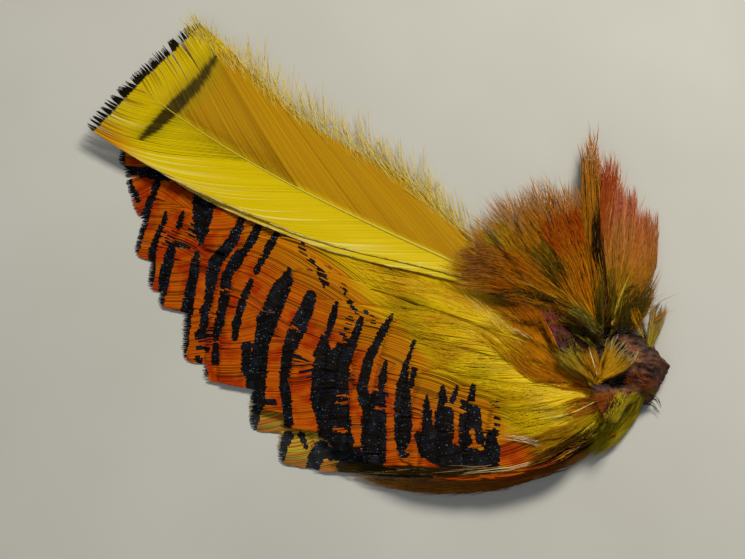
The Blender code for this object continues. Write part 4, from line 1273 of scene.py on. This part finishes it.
ginger = ginger_keratin()
fur = Hairs(160, (0.02, 0.93), (-1.0, 1.0), (2.5, 6.5), (-24.0, 24.0), 0.6, 0.12)
down = Hairs(90, (0.0, 0.35), (-3.0, 3.0), (2.0, 5.0), (-60.0, 60.0), 0.6, 0.12)
hairy = dict(outline=NECK_OUTLINE, tip_bow=1.5, bare=0.02, spacing=0.2, barb=0.2, lean=2.6, opening=26,
             closing=8, far_closing=8, uneven=1.2, clump=0.15, bunch=9, wave=0.4, roll=0.4, blunt=0.08,
             taper=4.0, loose=0.3, loose_height=0.6, loose_length=1.2, hairs=(fur, down), shaft=0.08,
             segments=5)
for number, (name, root, leaves, tip, arrives, half) in enumerate((
        ("01", (38.5, -9.5), 150, (24.0, -5.0), 165, 3.4),
        ("02", (36.8, -7.2), 152, (15.5, 3.0), 158, 4.0),
        ("03", (37.8, -7.6), 140, (20.2, 11.5), 132, 4.8),
        ("04", (39.2, -10.0), 128, (25.5, 17.5), 113, 5.4),
        ("05", (40.4, -11.6), 112, (32.0, 19.0), 100, 5.8),
        ("06", (41.4, -12.8), 102, (37.8, 18.0), 92, 4.6),
        ("spike", (42.6, -12.6), 95, (43.2, 30.5), 91, 1.6),
        ("07", (48.2, -11.4), 80, (51.2, 1.5), 87, 2.8),
        ("08", (47.2, -11.2), 82, (51.2, 11.5), 86, 3.2),
        ("09", (46.2, -11.4), 84, (49.6, 17.5), 87, 3.0),
        ("10", (44.6, -12.0), 86, (46.4, 25.5), 88, 2.6))):
    tuft = Feather("neck_feather_" + name, root, leaves, tip, arrives, half, half, **hairy)
    made = add_feather(tuft, ginger, 80 + number)
    pixels = photo_pixels(np.array([point.co for point in made.data.vertices]) / MM)
    for patch, strokes in TUFT_STROKES.items():
        add_value(made.data, patch, inside_any(pixels, strokes))

rng = np.random.default_rng(120)
add_locks("neck_feather_01", rng, (
    Lock(((548, 356, 26), (530, 325, 34), (506, 298, 28)), 220, "#bc7006", "#b0580a", (0.25, 0.6)),
    Lock(((545, 330, 16), (520, 302, 14), (500, 290, 12)), 60, "#b0640a", "#9c3c08", (0.3, 0.7)),
))
add_locks("neck_feather_03", rng, (
    Lock(((520, 272, 34), (485, 262, 40), (452, 262, 34)), 170, "#b06a08", "#6c4434", (0.25, 0.6), lift=0.8),
    Lock(((585, 315, 8), (530, 285, 34), (488, 264, 52)), 330, "#b07a06", "#ac4c06", (0.2, 0.45), lift=0.8),
    Lock(((540, 276, 30), (508, 243, 44), (488, 222, 34)), 260, "#b87a06", "#a0941a", (0.2, 0.45)),
    Lock(((590, 320, 2), (562, 300, 2), (530, 285, 2), (500, 277, 2)), 4, "#a8881c", "#a8701c", (0.7, 1.0),
         thick=0.2, lift=1.2),
))
add_locks("neck_feather_04", rng, (
    Lock(((575, 285, 20), (536, 232, 60), (518, 203, 60)), 460, "#b07006", "#b47414", (0.12, 0.3), lift=1.0,
         drawn=0.3),
    Lock(((545, 232, 50), (528, 205, 62), (514, 186, 64)), 110, "#a87030", "#c09a68", (0.3, 0.7), thick=0.08,
         lift=1.1, drawn=0.1),
    Lock(((568, 292, 12), (552, 262, 24), (532, 240, 20)), 170, "#34300a", "#6c6010", (0.2, 0.5), lift=1.3),
    Lock(((592, 320, 6), (560, 302, 8), (520, 293, 9), (482, 293, 9)), 110, DARK_OLIVE, DARK_OLIVE, (0.2, 0.5), lift=0.9),
))
add_locks("neck_feather_05", rng, (
    Lock(((595, 320, 8), (572, 245, 50), (558, 200, 54)), 460, "#bc7004", "#ac5c10", (0.12, 0.3), lift=1.0,
         drawn=0.3),
    Lock(((566, 215, 50), (556, 186, 56)), 90, "#a86a30", "#c09a68", (0.3, 0.8), thick=0.08, lift=1.1,
         drawn=0.1),
    Lock(((576, 256, 26), (562, 228, 44), (556, 212, 40)), 260, "#b05006", "#983806", (0.25, 0.5), lift=1.5,
         drawn=0.2),
    Lock(((600, 330, 5), (574, 296, 12), (560, 262, 30)), 150, "#b88c10", "#ac500a", (0.3, 0.7), lift=1.0),
    Lock(((601, 335, 3), (588, 318, 3), (568, 296, 3)), 5, "#b8a02c", "#a8801c", (0.8, 1.0), thick=0.26,
         lift=1.3),
))
add_locks("neck_feather_spike", rng, (
    Lock(((602, 300, 10), (592, 240, 18), (590, 195, 17), (588, 158, 15), (586, 140, 22)), 260, "#9c6406",
         "#b0701c", (0.2, 0.4), lift=1.0),
    Lock(((600, 275, 8), (597, 245, 11), (596, 224, 8), (597, 208, 4)), 100, "#120c04", "#20120a", (0.3, 0.7),
         lift=1.4),
))
add_locks("neck_feather_10", rng, (
    Lock(((603, 262, 8), (607, 215, 14), (609, 185, 15), (612, 156, 14)), 200, "#98480a", "#b04820",
         (0.2, 0.5), lift=1.0, drawn=0.8),
))
add_locks("neck_feather_09", rng, (
    Lock(((614, 300, 12), (618, 240, 32), (624, 184, 24)), 300, "#a8720c", "#c0704c", (0.2, 0.5), lift=1.0,
         drawn=0.7),
    Lock(((624, 300, 12), (638, 245, 32), (640, 204, 22)), 300, "#a8700c", "#c4623c", (0.2, 0.5), drawn=0.7),
    Lock(((620, 228, 16), (625, 205, 24), (625, 182, 22)), 110, "#b0583c", "#c46c54", (0.3, 0.6), thick=0.1,
         lift=1.3, drawn=0.4),
    Lock(((604, 334, 12), (604, 300, 26), (606, 262, 18)), 200, "#2e2c0a", "#7c600c", (0.15, 0.4), lift=1.2),
    Lock(((612, 326, 10), (622, 290, 14), (630, 262, 20)), 60, "#8c7414", "#a07010", (0.2, 0.5), lift=1.4),
    Lock(((610, 334, 2), (613, 315, 2), (622, 292, 2), (634, 266, 2)), 4, "#c0a838", "#a88420", (0.8, 1.0),
         thick=0.24, lift=1.4),
))
add_locks("neck_feather_07", rng, (
    Lock(((630, 305, 10), (645, 265, 24), (651, 208, 18)), 240, "#98640c", "#b8683a", (0.2, 0.5), drawn=0.7),
    Lock(((610, 332, 14), (628, 308, 30), (646, 288, 26)), 200, "#2e2c0a", "#4c4410", (0.15, 0.4), lift=1.2),
    Lock(((646, 340, 6), (637, 318, 10), (633, 304, 8)), 40, "#c89a06", "#bc7006", (0.3, 0.7), lift=1.2),
))


# Small golden feathers
# Three small feathers that lie on the skin like little fans, and one that stands out at its right
# end. They are the last of the golden feathers, with short loose barbs, and a few more strands lie
# over the skin from its lower edge.

rng = np.random.default_rng(130)
add_locks("small_feather_left", rng, (
    Lock(((597, 386, 5), (580, 368, 22), (564, 347, 30)), 170, "#a87408", "#a8982c", (0.5, 0.9), lift=0.6),
    Lock(((575, 362, 20), (562, 344, 30)), 34, "#b89c30", "#b8a450", (0.4, 0.9), thick=0.1, lift=0.8),
))
add_locks("small_feather_middle", rng, (
    Lock(((597, 380, 4), (592, 364, 13), (586, 347, 18)), 130, "#98600a", "#b07c0c", (0.5, 0.95), lift=0.7),
    Lock(((597, 375, 1), (592, 358, 1), (589, 346, 1)), 3, "#e8dca0", "#d8c880", (0.9, 1.0), thick=0.26,
         lift=0.9),
))
add_locks("small_feather_right", rng, (
    Lock(((598, 382, 5), (611, 365, 24), (623, 350, 36)), 220, "#b07c0c", "#b88c14", (0.5, 0.9), lift=0.7),
    Lock(((612, 364, 24), (622, 351, 38), (630, 342, 42)), 70, "#a8882c", "#b8ac80", (0.3, 0.7), thick=0.1,
         lift=0.9),
))
add_locks("side_feather", rng, (
    Lock(((650, 347, 6), (655, 325, 13), (660, 304, 18)), 170, "#8c7c14", "#b08c5c", (0.5, 0.9)),
    Lock(((654, 325, 12), (660, 300, 16)), 14, "#5a4c18", "#3a3018", (0.6, 0.9), thick=0.12, lift=0.3),
))
add_locks("golden_plume_2", rng, (
    Lock(((596, 388, 6), (565, 378, 22), (535, 362, 36), (508, 335, 36)), 260, "#a85c06", "#c88408",
         (0.3, 0.6)),
    Lock(((560, 372, 30), (520, 345, 40), (480, 312, 40)), 120, "#c07c08", "#d8b00c", (0.3, 0.6)),
    # Pale hairs whose near-white colour paints the silky highlights along the gold
    Lock(((540, 350, 20), (505, 328, 16), (476, 298, 14), (456, 280, 8)), 24, "#f0dc90", "#d8bc30",
         (0.15, 0.4), thick=0.07, lift=0.8, drawn=0.1),
))
add_locks("golden_plume_1", rng, (
    Lock(((610, 396, 12), (594, 404, 18), (560, 412, 20)), 170, "#a0501c", "#c08408", (0.25, 0.6), lift=0.9),
    Lock(((604, 412, 12), (570, 436, 24), (520, 452, 24)), 200, "#a8840a", "#b8780a", (0.25, 0.6), lift=0.6),
    Lock(((612, 398, 8), (610, 412, 10), (606, 428, 8)), 60, "#3c2018", "#5c3424", (0.15, 0.4), lift=1.2),
    Lock(((597, 401, 1), (580, 410, 1), (560, 416, 1), (538, 419, 1)), 3, "#f0dc70", "#e0c840", (0.9, 1.0),
         thick=0.2, lift=0.5),
    # Pale hairs on the lower edge. Their near-white colour is partly a painted reflection off the barbs.
    Lock(((552, 448, 4), (530, 441, 6), (498, 434, 9)), 22, "#f0e4c0", "#e0b070", (0.3, 0.7), thick=0.08,
         lift=0.5, drawn=0.1),
))
add_locks("rim_feather_inner", rng, (
    Lock(((640, 393, 12), (628, 412, 20), (610, 436, 18), (588, 456, 12)), 330, "#8c7c10", "#b4a41c",
         (0.25, 0.6), lift=1.2),
    Lock(((624, 392, 10), (617, 406, 14), (604, 432, 16), (575, 452, 12)), 200, "#a89418", "#8c7a14",
         (0.25, 0.6), lift=1.2),
    Lock(((604, 406, 6), (596, 425, 14), (570, 446, 16), (530, 462, 14)), 200, "#98840f", "#b89410",
         (0.3, 0.6), lift=0.8),
    Lock(((608, 421, 2), (590, 438, 4), (560, 456, 6)), 8, "#d0b830", "#d8c040", (0.6, 1.0), thick=0.16,
         lift=1.2),
    # Dark hairs laid over the ends of the last tippets. Their darkness is painted shade.
    Lock(((608, 420, 14), (588, 437, 18), (560, 453, 18), (525, 468, 12)), 330, "#3a3008", "#6c3408",
         (0.2, 0.5), lift=1.5),
    Lock(((604, 420, 3), (588, 438, 4), (556, 456, 4), (520, 466, 3)), 26, "#b0a024", "#a88c14", (0.3, 0.6),
         thick=0.1, lift=1.1),
    Lock(((560, 456, 3), (510, 469, 4), (450, 474, 4)), 12, "#e0c890", "#c8a870", (0.3, 0.7), thick=0.1,
         lift=0.6),
    # Dark hairs along the fan's lower edge. Their darkness is also painted shade under that edge.
    Lock(((505, 469, 4), (470, 472, 6), (430, 472, 9), (390, 471, 11), (350, 468, 10), (325, 464, 6)), 240,
         "#2c1c0a", "#3c3210", (0.15, 0.4)),
    Lock(((504, 465, 6), (472, 470, 9), (428, 473, 10), (388, 475, 8), (350, 476, 4)), 24, "#c8a870",
         "#a8946a", (0.1, 0.35), thick=0.07, lift=0.6, drawn=0.1),
    Lock(((570, 466, 8), (500, 484, 10), (420, 489, 10), (360, 480, 6)), 150, "#8c4a0c", "#a0702c",
         (0.2, 0.5)),
))


# Floor, lights and camera
# A plain pale board, one large soft lamp behind and to the right, a weak fill from the front, and
# the camera where the photograph was taken from.

FLOOR_HALF = 2.0
CAMERA_SENSOR = 36.0


def pale_board():
    """A matt painted board, with a faint unevenness in its paint."""
    paint = Paint("pale_board", Roughness=0.7, Specular_IOR_Level=0.3)
    shade = paint.ramp(paint.patches(60.0, 3.0), 0.3, 0.7)
    colour = paint.mix(shade, "#bebeb4", "#c6c6bd")
    return paint.finish(colour)


def lamp(name, place, size, power, colour):
    """A square soft lamp that faces the middle of the piece."""
    light = bpy.data.lights.new(name, "AREA")
    light.size = size
    light.energy = power
    light.color = linear(colour)[:3]
    made = bpy.data.objects.new(name, light)
    made.location = place
    made.rotation_euler = (-Vector(place)).to_track_quat("-Z", "Y").to_euler()
    bpy.context.scene.collection.objects.link(made)


board_mesh = bpy.data.meshes.new("board")
corners = [(x * FLOOR_HALF, y * FLOOR_HALF, 0) for x, y in ((-1, -1), (1, -1), (1, 1), (-1, 1))]
board_mesh.from_pydata(corners, [], [(0, 1, 2, 3)])
board_mesh.materials.append(pale_board())
board = bpy.data.objects.new("board", board_mesh)
bpy.context.scene.collection.objects.link(board)

lamp("key_lamp", (0.2, 0.26, 0.42), 0.16, 2.6, "#fff8ee")
lamp("fill_lamp", (-0.2, -0.35, 0.5), 0.5, 0.9, "#f2f6ff")
world = bpy.data.worlds.new("studio")
world.use_nodes = True
world.node_tree.nodes["Background"].inputs["Color"].default_value = linear("#d9dde2")
world.node_tree.nodes["Background"].inputs["Strength"].default_value = 0.12
bpy.context.scene.world = world
bpy.context.scene.view_settings.view_transform = "Standard"

camera_data = bpy.data.cameras.new("camera")
camera_data.lens = CAMERA_SENSOR * VIEW_DISTANCE / VIEW_PIXEL / IMAGE_SIZE[0]
camera_data.sensor_width = CAMERA_SENSOR
camera_data.clip_start = 0.01
camera = bpy.data.objects.new("camera", camera_data)
camera_target = Vector(VIEW_TARGET) - Vector((*PLAN_ORIGIN, 0))
outward = Vector((0, -math.cos(VIEW_ELEVATION), math.sin(VIEW_ELEVATION)))
camera.location = (camera_target + VIEW_DISTANCE * outward) * MM
camera.rotation_euler = (-outward).to_track_quat("-Z", "Y").to_euler()
bpy.context.scene.collection.objects.link(camera)
bpy.context.scene.camera = camera
